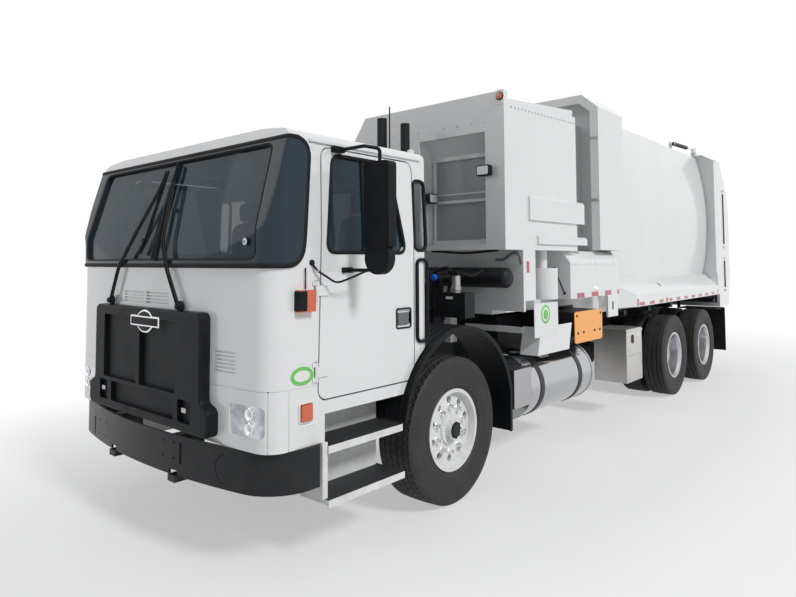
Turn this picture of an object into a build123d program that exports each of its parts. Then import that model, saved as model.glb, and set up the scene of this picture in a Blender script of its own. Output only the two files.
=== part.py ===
"""Side-loading refuse truck: a cab-over on three axles with a tipping body,
a swinging tailgate and a sliding loading arm on its right side.

Millimetres. X points to the truck's left, Y to its rear, Z up. The origin is on the
ground below the middle of the truck. Places along the truck are counted from the front axle.
"""
import os
from math import cos, radians, sin

from build123d import *

os.makedirs("parts", exist_ok=True)

# Axles and wheels
front_axle_y = -3050
wheelbase = 5711
tandem_pitch = 1370
rear_axle_ys = [front_axle_y + wheelbase + step * tandem_pitch / 2 for step in (-1, 1)]
front_tyre_r, front_tyre_w = 538, 315
rear_tyre_r, rear_tyre_w = 525, 279
front_wheel_x, rear_outer_x, twin_pitch = 1038, 1075, 330
rim_r, rim_lip, rim_wall = 286, 14, 12
disc_r, disc_t = 200, 22
hub_r, hub_bore_r = 110, 40
hand_hole_r, hand_hole_count = 26, 10
kingpin_x, kingpin_r, kingpin_eye_r, steer_clear = 800, 24, 45, 0.3
yoke_gap, yoke_ear_h, yoke_web = 1, 54, 40

# Chassis frame
frame_low_z, frame_top_z = 750, 1020
frame_half, flange_w, rail_web = 430, 80, 9
frame_front_y, frame_rear_y = front_axle_y - 1700, front_axle_y + 7180
cross_member_ys = [front_axle_y + y for y in (-1500, 850, 2000, 3500, 4450, 5711, 7050)]
hitch_x, hitch_z, hitch_hole_r = 150, 60, 9
shaft_front_y, shaft_r = front_axle_y + 750, 45

# Cab
cab_half = 1200
cab_front_y, cab_rear_y = front_axle_y - 1800, front_axle_y - 330
cab_low_z, cab_belt_z, cab_glass_top_z, cab_roof_z = 740, 1755, 2550, 2625
cab_front_sag, cab_corner_r, cab_rear_corner_r = 74, 130, 70
cab_wall, floor_z, floor_wall = 45, 1120, 40
sill_z, arch_y, arch_z, arch_r = 900, front_axle_y + 30, 607, 695
wheelhouse_x, arch_gap, wheelhouse_wall = 560, 12, 35
tunnel_half, tunnel_top_z, tunnel_wall = 420, 1500, 20
tunnel_front_y = front_axle_y - 1350

# Doors
door_front_y, door_rear_y = front_axle_y - 1390, front_axle_y - 490
door_low_z, door_top_z, door_lean = 976, 2482, 40
door_gap, door_corner_r = 10, 70
hinge_x, hinge_y = cab_half + 5, door_front_y - 10
hinge_r, hinge_h, hinge_clear = 11, 60, 0.3
hinge_zs = (1150, 1620)

# Details of the cab's skin
gutter_front_y, gutter_z, gutter_h, gutter_in, gutter_out = front_axle_y - 1440, 2505, 14, 40, 12
louvre_x, louvre_z, louvre_half, louvre_rib, louvre_deep = -50, 1520, 300, 20, 16
louvre_rows, louvre_pitch, louvre_h = 4, 21, 12
vent_x, vent_z, vent_w, vent_deep, vent_lean = 730, 1155, 185, 37, 16
vent_rows, vent_pitch, vent_h = 6, 22, 12
nose_seam_z, corner_seam_y, seam_w = 1075, front_axle_y - 1600, 6
handle_y, handle_z, handle_w, handle_h, handle_deep, handle_r = front_axle_y - 677, 1348, 135, 117, 12, 14
sill_front_y = front_axle_y - 1330
headlamp_x, headlamp_z, headlamp_w, headlamp_h, headlamp_r = 870, 820, 270, 170, 25
turn_lamp_ys, turn_lamp_zs, turn_lamp_out = (front_axle_y - 1560, front_axle_y - 1440), (1505, 1630), 45
marker_ys, marker_zs, marker_out = (front_axle_y - 1520, front_axle_y - 1440), (890, 980), 20

# Mirrors, from the door's skin outwards
mirror_reach, mirror_w, mirror_deep, mirror_corner_r = 145, 200, 70, 28
mirror_low_z, mirror_high_z, mirror_y = 1870, 2385, front_axle_y - 1150
round_mirror_r, round_mirror_drop = 98, 60
mirror_tube_r, mirror_foot = 11, 60
mirror_top_foot_y, mirror_top_foot_z = front_axle_y - 1207, 2472
mirror_low_foot_y, mirror_low_foot_z = front_axle_y - 1138, 1737

# Grille
grille_half, grille_foot, grille_foot_z, grille_low_z, grille_top_z = 690, 770, 935, 775, 1490
grille_deep, grille_sink, grille_corner_r, grille_edge_r, grille_panel_r = 45, 28, 45, 16, 12
grille_panels = [(-545, -75, 990, 1425), (-35, 415, 990, 1425), (-430, 400, 830, 965),
                 (-600, -480, 830, 965), (450, 590, 830, 965)]  # x from and to, z from and to

# Front fenders and cab steps
fender_in_x, fender_out_x, fender_wall, fender_lip, fender_lip_w, fender_ribs = 900, 1250, 14, 30, 10, 5
flap_low_z = 400
step_deep, step_out, step_t, step_lip = 220, 35, 30, 14
step_plate_y, step_plate_z = front_axle_y - 1365, 420
step_treads = [(front_axle_y - 665, 690), (front_axle_y - 645, 380)]  # rear end, height
step_arm_ys = (front_axle_y - 1300, front_axle_y - 850)

# Inside the cab
seat_x = 710

# Front bumper and its tow eyes
bumper_low_z, bumper_top_z, bumper_wall = 500, 740, 14
bumper_front_y, bumper_corner_y = front_axle_y - 1850, front_axle_y - 1690
bumper_end_y, bumper_bend_r = front_axle_y - 1370, 300
slot_w, slot_deep, bumper_hole_r = 24, 115, 7
bumper_slots = [(463, 638, 125), (-806, 583, 135)]  # x, z, height
bumper_holes = [(288, 691), (398, 695), (288, 601), (396, 599),
                (-698, 645), (-550, 651), (-698, 555), (-550, 561)]
fog_x, fog_z, fog_r, fog_gap, fog_deep = 856, 613, 86, 4, 83
tow_x, tow_y, tow_t, tow_r = 390, front_axle_y - 1800, 40, 18

# Behind the cab
stack_y = front_axle_y + 250
stack_rows = [(237, 44, 1100, 3058), (504, 40, 1100, 2973), (327, 6, 1100, 3151)]  # x, radius, low, high
stack_bar_x = 700
air_tank_y, air_tank_z, air_tank_r = front_axle_y + 800, 1645, 87
tank_in_x, tank_out_x = 350, 1202
cleaner_xs, cleaner_ys = (765, 1054), (front_axle_y + 330, front_axle_y + 470)
cleaner_zs = (1328, 1529)

# Fuel tank, battery box, guard plate and tool box on the left rail
tank_r, tank_in, tank_z, tank_front_y, tank_l = 285, 10, 655, front_axle_y + 1100, 1280
ring_w, ring_t, strap_w, strap_t = 22, 7, 70, 5
strap_places = (180, 960)
battery_in_x, battery_ys, battery_zs = 850, (front_axle_y + 800, front_axle_y + 1090), (550, 870)
guard_y, guard_w, guard_lean, guard_t, guard_flank = front_axle_y + 1216, 620, 64, 6, 180
guard_low_z, guard_high_z = 944, 1190
box_in_x, box_ys, box_low_z, box_high_z = 840, (front_axle_y + 3280, front_axle_y + 3760), 400, 1000
box_lip = 6

# Glass
glass_t, glass_in, glass_fit = 8, 14, 0.3

# Body and hopper
pivot_y, pivot_z, pivot_r, pin_clear = front_axle_y + 7200, 1100, 25, 0.3
sill_half, sill_w, body_rest = 390, 80, 0.3
body_floor_z, body_wall = 1180, 40
hopper_front_y, hopper_rear_y = front_axle_y + 690, front_axle_y + 2060
hopper_floor_z, hopper_wall, hopper_skin = 1310, 40, 30
tub_front_y, hopper_tub_half, hopper_brow_z = front_axle_y + 980, 900, 1884
hopper_top_z, hopper_far_x, hopper_sill_z = 3230, -384, 2420
bay_x, bay_w, bay_z, bay_h, bay_deep = 310, 720, 1930, 970, 220
bay_slope, bay_seam_z = 180, 2400
wall_drop, rail_w, rail_h, rail_up = 83, 25, 33, 70
ledge_out = 20
hopper_ledges = [(2350, 2150, front_axle_y + 1080, front_axle_y + 2190),
                 (2000, 1940, front_axle_y + 1230, front_axle_y + 2250)]  # top, bottom, start, end
packer_half, packer_l, packer_top_z, packer_clear = 850, 250, 1830, 5
collar_front_y, shell_front_y = front_axle_y + 2620, front_axle_y + 3300
shell_rear_y, body_rear_y = front_axle_y + 7200, front_axle_y + 7280
body_half, shell_half, shell_roof_z = 1220, 1085, 3510
throat_half, throat_wall, throat_top_z = 900, 30, 3300
collar_wall, collar_lip, channel_deep, channel_wall = 40, 90, 280, 20
collar_low_z, collar_top_z, collar_shoulder_z, collar_peak_x = 1900, 3600, 3440, 1040
rear_rim, rear_rim_t = 60, 14
tail_gap = 5

# Tailgate
tail_front_y, tail_rear_y = body_rear_y + tail_gap, front_axle_y + 7950
tail_low_z, tail_top_z = 1040, 3510
tail_hinge_y, tail_hinge_z = body_rear_y - 40, 3545
tail_hinge_x, tail_pin_r = 900, 20
tail_base_y, tail_base_z = tail_hinge_y - 900, tail_hinge_z + 50
tail_eye_y, tail_eye_z = tail_hinge_y + 85, tail_hinge_z + 85
tail_ram_x = tail_hinge_x - 40

# Skirts over the rear wheels, and the filler let into the left one
skirt_rim_x, skirt_rim_z, skirt_edge_z, skirt_low_z = 1040, 1560, 1380, 1240
skirt_t, skirt_slant = 25, 360
filler_y, filler_r, filler_wall, filler_deep = front_axle_y + 4690, 32, 8, 60

# Locker on the left, the upright tank before it and the two posts
locker_ys = (front_axle_y + 1890, front_axle_y + 3110)
locker_low_z, locker_high_z, locker_chamfer = 1415, 1770, 90
upright_x, upright_y, upright_r, upright_zs = 1075, front_axle_y + 1591, 145, (1430, 1720)
post_t, post_low_z = 20, 1440
post_ys = (tub_front_y + hopper_skin + 0.3, tub_front_y + 215)
rear_post_ys, rear_post_zs = (front_axle_y + 2790, front_axle_y + 3060), (1180, locker_low_z + 1)

# Hoist rams under the body
hoist_base_y, hoist_base_z = pivot_y - 3000, pivot_z - 460
hoist_eye_y, hoist_eye_z = pivot_y - 1200, pivot_z - 10
hoist_x, hoist_pin_r, hoist_barrel_r, hoist_rod_r = frame_half + 100, 26, 55, 34
hoist_closed, hoist_eye_r, hoist_width, hoist_pin_out = 1738, 44, 70, 70
lug_reach, lug_t, boss_t, cross_h = 40, 12, 8, 60

# Loading arm
arm_low_z, arm_top_z, arm_wall = 1045, 1280, 12
arm_front_y, arm_rear_y = front_axle_y + 1990, front_axle_y + 2580
arm_mouth_x, arm_right_x = -900, -1060
lift_x, lift_z, lift_drum_r = -1090, 1760, 80
gripper_x = lift_x - 65
gripper_front_y, gripper_rear_y = arm_front_y - 275, arm_front_y + 435


def across(y):
    """The plane across the truck at y, drawn in X and Z."""
    return Plane(origin=(0, y, 0), x_dir=(1, 0, 0), z_dir=(0, -1, 0))


def side(x):
    """The plane along the truck at x, drawn in Y and Z."""
    return Plane(origin=(x, 0, 0), x_dir=(0, 1, 0), z_dir=(1, 0, 0))


def level(z):
    """The level plane at z, drawn in X and Y."""
    return Plane.XY.offset(z)


def block(xs, ys, zs, mode=Mode.ADD):
    """A plain box between two limits on each axis."""
    centre = tuple((a + b) / 2 for a, b in (xs, ys, zs))
    with Locations(centre):
        Box(*[abs(b - a) for a, b in (xs, ys, zs)], mode=mode)


def prism(plane, points, depth, radius=0, corners=None, mode=Mode.ADD):
    """An outline of straight edges pushed out of its plane, with its corners rounded."""
    with BuildSketch(plane) as outline:
        with BuildLine():
            Polyline(*points, close=True)
        make_face()
        if radius:
            chosen = outline.vertices()
            if corners is not None:
                chosen = [v for v in chosen if any(abs(v.X - points[c][0]) < 1
                          and abs(v.Y - points[c][1]) < 1 for c in corners)]
            fillet(chosen, radius)
    extrude(outline.sketch, amount=depth, mode=mode)


def rod(start, axis, radius, length, mode=Mode.ADD, inner=0):
    """A round bar or tube from start along one axis."""
    with BuildSketch(Plane(origin=start, z_dir=axis)) as section:
        Circle(radius)
        if inner:
            Circle(inner, mode=Mode.SUBTRACT)
    extrude(section.sketch, amount=length, mode=mode)


def bent_tube(points, radius, bend):
    """A round tube along straight runs joined by arcs."""
    with BuildLine(mode=Mode.PRIVATE) as route:
        FilletPolyline(*points, radius=bend)
    with BuildSketch(Plane(origin=points[0], z_dir=route.line % 0), mode=Mode.PRIVATE) as section:
        Circle(radius)
    sweep(section.sketch, path=route.line)


def mirrored(piece):
    """The same piece on the truck's other side."""
    with BuildPart() as other:
        mirror(piece.part, about=Plane.YZ)
    return other


def with_twin(piece):
    """A piece and its twin on the other side, as one node."""
    with BuildPart() as both:
        add(piece.part)
        mirror(piece.part, about=Plane.YZ)
    return both


# Chassis
def frame():
    with BuildPart() as rails:
        for sign in (-1, 1):
            web, lip = sign * frame_half, sign * (frame_half - flange_w)
            inner = sign * (frame_half - rail_web)
            prism(across(frame_front_y),
                  [(web, frame_low_z), (web, frame_top_z), (lip, frame_top_z),
                   (lip, frame_top_z - rail_web), (inner, frame_top_z - rail_web),
                   (inner, frame_low_z + rail_web), (lip, frame_low_z + rail_web), (lip, frame_low_z)],
                  frame_front_y - frame_rear_y)
        for y in cross_member_ys:
            block((-frame_half + rail_web, frame_half - rail_web), (y - 60, y + 60),
                  (frame_low_z + 60, frame_top_z - 30))
        for x in (-454, -346, 326, 434):
            prism(side(x), [(pivot_y - 150, frame_low_z + 60), (pivot_y - 70, frame_low_z + 60),
                            (pivot_y + 48, pivot_z), (pivot_y, pivot_z + 48), (pivot_y - 48, pivot_z),
                            (pivot_y - 130, frame_top_z - 20)], 20)
        for x in (-454, 326):
            rod((x, pivot_y, pivot_z), (1, 0, 0), pivot_r, 128)
        for x in (-hitch_x, hitch_x):
            for z in (-hitch_z, hitch_z):
                rod((x, cross_member_ys[-1] - 70, (frame_low_z + frame_top_z + 30) / 2 + z), (0, 1, 0),
                    hitch_hole_r, 140, mode=Mode.SUBTRACT)
        pin_l = hoist_x - frame_half + hoist_pin_out
        for x in (-frame_half - pin_l, frame_half):
            rod((x, hoist_base_y, hoist_base_z), (1, 0, 0), hoist_pin_r, pin_l)
        for x in (-440, 430):
            prism(side(x), [(hoist_base_y - 60, hoist_base_z - 50), (hoist_base_y + 60, hoist_base_z - 50),
                            (hoist_base_y + 90, frame_low_z + 150), (hoist_base_y - 90, frame_low_z + 150)],
                  10)
    return rails


def beam_axle(y, z, half, height, drop):
    """A front beam that drops between its two spring seats."""
    with BuildPart() as beam:
        eye = height / 2
        prism(across(y + kingpin_eye_r),
              [(-half, z - eye), (-half + 60, z - eye), (-480, z - drop - eye),
               (480, z - drop - eye), (half - 60, z - eye), (half, z - eye),
               (half, z + eye), (half - 70, z + eye), (470, z - drop + eye),
               (-470, z - drop + eye), (-half + 70, z + eye), (-half, z + eye)], 2 * kingpin_eye_r)
        for sign in (-1, 1):
            rod((sign * kingpin_x, y, z - eye), (0, 0, 1), kingpin_eye_r, height)
            rod((sign * kingpin_x, y, z - eye - yoke_gap - yoke_ear_h), (0, 0, 1), kingpin_r,
                height + 2 * (yoke_gap + yoke_ear_h))
    return beam


def front_axle():
    return beam_axle(front_axle_y, front_tyre_r, kingpin_x, 90, 90)


def rear_axles():
    with BuildPart() as axles:
        for y in rear_axle_ys:
            with BuildSketch(side(-880)) as tube:
                with Locations((y, rear_tyre_r)):
                    Circle(62)
            extrude(tube.sketch, amount=1760)
            with Locations((0, y, rear_tyre_r)):
                Sphere(200)
            rod((0, y - 320, rear_tyre_r + 60), (0, 1, 0), 60, 330)
        for start, end in ((shaft_front_y, rear_axle_ys[0] - 310),
                           (rear_axle_ys[0] + 100, rear_axle_ys[1] - 310)):
            rod((0, start, rear_tyre_r + 60), (0, 1, 0), shaft_r, end - start)
    return axles


def springs():
    """Front leaf packs under the rails and rear walking springs over the axles."""
    with BuildPart() as left:
        seat = front_tyre_r - 90 + 45
        for leaf in range(4):
            reach = 700 - leaf * 130
            block((360, 440), (front_axle_y - reach, front_axle_y + reach),
                  (seat + 22 * (3 - leaf), seat + 22 * (4 - leaf)))
        for sign in (-1, 1):
            block((370, 430), (front_axle_y + sign * 700 - 40, front_axle_y + sign * 700 + 40),
                  (seat + 88, frame_low_z))
        middle = (rear_axle_ys[0] + rear_axle_ys[1]) / 2
        low = rear_tyre_r + 62
        for leaf in range(3):
            reach = 760 - leaf * 200
            block((440, 520), (middle - reach, middle + reach), (low + 30 * leaf, low + 30 * (leaf + 1)))
        block((frame_half, 530), (middle - 130, middle + 130), (low + 90, frame_low_z + 130))
    return with_twin(left)


def tyre_profile(radius, width, inner_r):
    """Half outline of a tyre as radius and place across, from bead to tread."""
    half = width / 2
    return [(inner_r, -half * .72), (inner_r + 60, -half * .97), (radius - 95, -half),
            (radius - 30, -half * .92),
            (radius, -half * .84), (radius, half * .84), (radius - 30, half * .92), (radius - 95, half),
            (inner_r + 60, half * .97), (inner_r, half * .72)]


def ring(profile, x, y, z, mode=Mode.ADD):
    """A closed outline of radius against place across, turned about a wheel's own axis."""
    with BuildSketch(Plane(origin=(x, y, z), x_dir=(0, 0, 1), z_dir=(0, 1, 0))) as section:
        with BuildLine():
            Polyline(*[(r, w) for r, w in profile], close=True)
        make_face()
    revolve(section.sketch, axis=Axis((x, y, z), (1, 0, 0)), mode=mode)


def tyre(x, y, radius, width, inner_r=rim_r):
    with BuildPart() as rubber:
        ring(tyre_profile(radius, width, inner_r), x, y, radius)
    return rubber


def rim_profile(width, dish, outside):
    """Barrel with lips and a disc; dish is how far the disc's face lies towards outside."""
    half = width * .41
    r = rim_r - 0.3
    low = r - 2 * rim_wall
    joint = [(low, dish - 6), (low, half - 30)] if dish < half - 30 else []
    outline = [(r, -half), (r + rim_lip, -half), (r + rim_lip, -half - 8), (r - rim_wall, -half - 8),
               (low, -half + 30), (low, min(half, dish) - 50), (disc_r, dish - disc_t),
               (hub_r - 1, dish - disc_t),
               (hub_r - 1, dish), (disc_r + 6, dish)] + joint + [
               (r - rim_wall, half + 8), (r + rim_lip, half + 8), (r + rim_lip, half), (r, half)]
    return [(radius, outside * place) for radius, place in outline]


def front_rim():
    with BuildPart() as rim:
        z = front_tyre_r
        ring(rim_profile(front_tyre_w, 90, 1), front_wheel_x, front_axle_y, z)
        hub_face = front_wheel_x + 150
        rod((kingpin_x + 95, front_axle_y, z), (1, 0, 0), hub_r, hub_face - kingpin_x - 140,
            inner=hub_bore_r)
        rod((hub_face - 45, front_axle_y, z), (1, 0, 0), 70, 45)
        hand_holes(front_wheel_x + 60, front_axle_y, z)
    return rim


def hand_holes(x, y, z):
    """The round holes of a wheel disc, in a ring between hub and barrel."""
    for index in range(hand_hole_count):
        turn = radians(360 / hand_hole_count * (index + .5))
        place = (x - 20, y + 215 * cos(turn), z + 215 * sin(turn))
        rod(place, (1, 0, 0), hand_hole_r, 100, mode=Mode.SUBTRACT)


def rear_rims(y):
    with BuildPart() as rims:
        z = rear_tyre_r
        inner_x = rear_outer_x - twin_pitch
        meet = (rear_outer_x + inner_x) / 2
        ring(rim_profile(rear_tyre_w, meet - inner_x, 1), inner_x, y, z)
        ring(rim_profile(rear_tyre_w, rear_outer_x - meet, -1), rear_outer_x, y, z)
        rod((892, y, z), (1, 0, 0), hub_r + 5, meet + 190 - 892)
    return rims


def rear_tyres(y):
    with BuildPart() as pair:
        for x in (rear_outer_x, rear_outer_x - twin_pitch):
            ring(tyre_profile(rear_tyre_r, rear_tyre_w, rim_r), x, y, rear_tyre_r)
    return pair


def knuckle():
    """The steering knuckle: a yoke round the kingpin with the stub axle that carries the hub."""
    with BuildPart() as yoke:
        z, eye = front_tyre_r, 45
        inner_x, outer_x = kingpin_x + kingpin_eye_r + 5, kingpin_x + kingpin_eye_r + 5 + yoke_web
        depth = (front_axle_y - kingpin_eye_r, front_axle_y + kingpin_eye_r)
        reach = eye + yoke_gap + yoke_ear_h
        for low in (z - reach, z + eye + yoke_gap):
            rod((kingpin_x, front_axle_y, low), (0, 0, 1), kingpin_eye_r, yoke_ear_h)
            block((kingpin_x, inner_x), depth, (low, low + yoke_ear_h))
        block((inner_x, outer_x), depth, (z - reach, z + reach))
        rod((kingpin_x, front_axle_y, z - reach - 1), (0, 0, 1), kingpin_r + steer_clear, 2 * reach + 2,
            mode=Mode.SUBTRACT)
        rod((outer_x, front_axle_y, z), (1, 0, 0), hub_bore_r - pin_clear, kingpin_x + 325 - outer_x)
    return yoke


# Cab
def cab_form(inset):
    """The cab's closed outer shape, drawn in by inset on every face."""
    with BuildPart() as form:
        corner_y = cab_front_y + cab_front_sag
        with BuildSketch(level(cab_low_z - 10)) as plan:
            with BuildLine():
                ThreePointArc((-cab_half, corner_y), (0, cab_front_y), (cab_half, corner_y))
                Polyline((cab_half, corner_y), (cab_half, cab_rear_y), (-cab_half, cab_rear_y),
                         (-cab_half, corner_y))
            make_face()
            fillet(plan.vertices().group_by(Axis.Y)[-1], cab_rear_corner_r)
            fillet(plan.vertices().group_by(Axis.Y)[0], cab_corner_r)
            if inset:
                offset(amount=-inset, mode=Mode.REPLACE)
        extrude(amount=cab_roof_z - cab_low_z + 100)
        with BuildSketch(side(-cab_half - 10)) as profile:
            with BuildLine():
                Polyline((cab_front_y + 35, cab_low_z), (cab_front_y, cab_low_z + 330),
                         (cab_front_y, cab_belt_z),
                         (cab_front_y + 235, cab_glass_top_z + 40), (cab_front_y + 400, cab_roof_z - 8),
                         (cab_front_y + 900, cab_roof_z + 1), (cab_rear_y, cab_roof_z - 40),
                         (cab_rear_y, cab_low_z), close=True)
            make_face()
            fillet(profile.vertices().group_by(Axis.X)[-1].sort_by(Axis.Y)[-1], 80)
            if inset:
                offset(amount=-inset, mode=Mode.REPLACE)
        extrude(amount=2 * cab_half + 20, mode=Mode.INTERSECT)
        with BuildSketch(across(cab_front_y - 10)) as front:
            with BuildLine():
                Polyline((-cab_half, cab_low_z), (cab_half, cab_low_z), (cab_half, 1950),
                         (cab_half - 28, 2560))
                ThreePointArc((cab_half - 28, 2560), (0, cab_roof_z + 5), (-cab_half + 28, 2560))
                Polyline((-cab_half + 28, 2560), (-cab_half, 1950), (-cab_half, cab_low_z))
            make_face()
            high = [v for v in front.vertices() if abs(v.Y - 2560) < 1]
            fillet(high, 85)
            if inset:
                offset(amount=-inset, mode=Mode.REPLACE)
        extrude(amount=cab_front_y - cab_rear_y - 20, mode=Mode.INTERSECT)
    return form.part


door_outline = [(door_front_y, door_low_z), (door_front_y + door_lean, door_top_z),
                (door_rear_y, door_top_z), (door_rear_y, door_low_z)]
door_window = [(front_axle_y - 1315, 1845), (front_axle_y - 1255, 2440),
               (front_axle_y - 735, 2440), (front_axle_y - 585, 1845)]
corner_window = [(cab_rear_y - 157, 1865), (cab_rear_y - 157, 2355), (cab_rear_y + 40, 2355),
                 (cab_rear_y + 40, 1865)]
windscreen = [(-1085, cab_belt_z + 45), (1085, cab_belt_z + 45), (1055, cab_glass_top_z - 65),
              (-1055, cab_glass_top_z - 65)]
rear_window = [(-700, 1880), (700, 1880), (700, 2330), (-700, 2330)]


def opening(plane, outline, depth, shrink=0, radius=door_corner_r):
    """The prism of a door or window outline, drawn in by shrink."""
    with BuildPart() as cut:
        with BuildSketch(plane) as face:
            with BuildLine():
                Polyline(*outline, close=True)
            make_face()
            fillet(face.vertices(), radius)
            if shrink:
                offset(amount=-shrink, mode=Mode.REPLACE)
        extrude(amount=depth)
    return cut.part


def left_cut(outline, shrink=0, radius=door_corner_r):
    return opening(side(cab_half - 260), outline, 330, shrink, radius)


def front_cut(outline, shrink=0):
    return opening(across(cab_front_y + 500), outline, 600, shrink)


def rear_cut(outline, shrink=0):
    return opening(across(cab_rear_y + 20), outline, 150, shrink)


def cab_shell(skin, cavity):
    """Hollow cab with its floor, wheel houses, door ways, window openings, seams and vents."""
    with BuildPart() as shell:
        add(skin)
        with BuildPart(mode=Mode.PRIVATE) as room:
            add(cavity)
            block((-cab_half, cab_half), (cab_front_y, cab_rear_y), (cab_low_z - 20, floor_z),
                  mode=Mode.SUBTRACT)
            for x in (-cab_half, wheelhouse_x - wheelhouse_wall):
                rod((x, arch_y, arch_z), (1, 0, 0), arch_r + arch_gap + wheelhouse_wall,
                    cab_half - wheelhouse_x + wheelhouse_wall, mode=Mode.SUBTRACT)
        add(room.part, mode=Mode.SUBTRACT)
        with BuildPart(mode=Mode.PRIVATE) as below:
            add(cavity)
            block((-cab_half, cab_half), (cab_front_y, cab_rear_y + 10),
                  (floor_z - floor_wall, cab_roof_z + 10),
                  mode=Mode.SUBTRACT)
            block((-cab_half + cab_wall, cab_half - cab_wall), (cab_front_y + 90, cab_rear_y + 10),
                  (cab_low_z - 20, floor_z - floor_wall))
        add(below.part, mode=Mode.SUBTRACT)
        for x in (-cab_half - 30, wheelhouse_x):
            rod((x, arch_y, arch_z), (1, 0, 0), arch_r + arch_gap, cab_half - wheelhouse_x + 30,
                mode=Mode.SUBTRACT)
        block((-cab_half - 5, cab_half + 5), (sill_front_y, cab_rear_y + 20), (cab_low_z - 20, sill_z),
              mode=Mode.SUBTRACT)
        block((-tunnel_half, tunnel_half), (tunnel_front_y, cab_rear_y + 20), (floor_z - 60, tunnel_top_z),
              mode=Mode.SUBTRACT)
        for cut in (left_cut(door_outline), left_cut(corner_window, radius=60)):
            add(cut, mode=Mode.SUBTRACT)
            mirror(cut, about=Plane.YZ, mode=Mode.SUBTRACT)
        add(front_cut(windscreen), mode=Mode.SUBTRACT)
        add(rear_cut(rear_window), mode=Mode.SUBTRACT)
        pocket = headlamp_space(glass_fit)
        add(pocket, mode=Mode.SUBTRACT)
        mirror(pocket, about=Plane.YZ, mode=Mode.SUBTRACT)
        add(nose_vents(), mode=Mode.SUBTRACT)
        add(panel_seams(skin), mode=Mode.SUBTRACT)
        for sign in (-1, 1):
            block((sign * (cab_half - gutter_in), sign * (cab_half - gutter_out)),
                  (gutter_front_y, cab_rear_y - cab_rear_corner_r),
                  (gutter_z - gutter_h / 2, gutter_z + gutter_h / 2))
            for z in hinge_zs:
                hinge_leaf(sign, z)
    return shell


def hinge_leaf(sign, z):
    """One door hinge's two fixed barrels on their leaves, in their pocket of the cab's side."""
    rod((sign * hinge_x, hinge_y, z - hinge_h), (0, 0, 1), hinge_r + 6, 2 * hinge_h, mode=Mode.SUBTRACT)
    for low in (z - hinge_h / 2 - 26, z + hinge_h / 2 + hinge_clear):
        rod((sign * hinge_x, hinge_y, low), (0, 0, 1), hinge_r, 26 - hinge_clear)
        block((sign * (cab_half - 30), sign * (cab_half + 8)), (hinge_y - 30, hinge_y),
              (low, low + 26 - hinge_clear))


def nose_vents():
    """The air slots below the windscreen and the louvred vent beside the grille."""
    with BuildPart() as slots:
        for row in range(louvre_rows):
            z = louvre_z + row * louvre_pitch
            for sign in (-1, 1):
                block((louvre_x + sign * louvre_rib / 2, louvre_x + sign * louvre_half),
                      (cab_front_y - 5, cab_front_y + louvre_deep), (z, z + louvre_h))
        for row in range(vent_rows):
            z = vent_z + row * vent_pitch
            prism(level(z), [(vent_x, cab_front_y - 10), (vent_x + vent_w, cab_front_y - 10),
                             (vent_x + vent_w, cab_front_y + vent_deep + vent_lean),
                             (vent_x, cab_front_y + vent_deep)], vent_h)
    return slots.part


def panel_seams(skin):
    """Shallow grooves where the nose panel and the corner panels meet the cab."""
    with BuildPart() as seams:
        add(skin)
        block((-cab_half - 5, cab_half + 5), (cab_front_y - 5, door_front_y - 2 * door_gap),
              (cab_low_z - 20, cab_roof_z + 10), mode=Mode.INTERSECT)
        with BuildPart(mode=Mode.PRIVATE) as lines:
            block((-cab_half - 5, cab_half + 5), (cab_front_y - 5, cab_rear_y),
                  (nose_seam_z - seam_w / 2, nose_seam_z + seam_w / 2))
            block((-cab_half - 5, cab_half + 5), (corner_seam_y - seam_w / 2, corner_seam_y + seam_w / 2),
                  (cab_low_z - 20, nose_seam_z))
        add(lines.part, mode=Mode.INTERSECT)
        add(cab_lens, mode=Mode.SUBTRACT)
    return seams.part


def glass_sheet(cut):
    """A sheet of glass inside the cab's wall, as large as cut."""
    with BuildPart() as sheet:
        add(glass_outer)
        add(glass_inner, mode=Mode.SUBTRACT)
        add(cut, mode=Mode.INTERSECT)
    return sheet


def cab_glass():
    with BuildPart() as panes:
        add(glass_sheet(front_cut(windscreen, glass_fit)).part)
        add(glass_sheet(rear_cut(rear_window, glass_fit)).part)
        corner = glass_sheet(left_cut(corner_window, glass_fit, 60)).part
        add(corner)
        mirror(corner, about=Plane.YZ)
    return panes


def door(skin, cavity):
    """A door panel as thick as the cab's wall, with its window, its handle's pocket and its hinge barrels."""
    with BuildPart() as panel:
        add(skin)
        add(cavity, mode=Mode.SUBTRACT)
        add(left_cut(door_outline, door_gap), mode=Mode.INTERSECT)
        rod((wheelhouse_x, arch_y, arch_z), (1, 0, 0), arch_r + arch_gap, cab_half, mode=Mode.SUBTRACT)
        add(left_cut(door_window), mode=Mode.SUBTRACT)
        prism(side(cab_half - handle_deep),
              [(handle_y, handle_z), (handle_y + handle_w, handle_z),
               (handle_y + handle_w, handle_z + handle_h),
               (handle_y, handle_z + handle_h)], handle_deep + 10, radius=handle_r, mode=Mode.SUBTRACT)
        for z in hinge_zs:
            rod((hinge_x, hinge_y, z - hinge_h / 2), (0, 0, 1), hinge_r, hinge_h)
            edge_y = door_front_y + door_lean
            prism(level(z - hinge_h / 2), [(cab_half + .5, hinge_y - 6), (cab_half + 12, hinge_y - 6),
                                           (cab_half + 12, edge_y + 40), (cab_half - 4, edge_y + 40),
                                           (cab_half - 4, edge_y + 10), (cab_half + .5, edge_y + 10)],
                                           hinge_h)
    return panel


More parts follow.
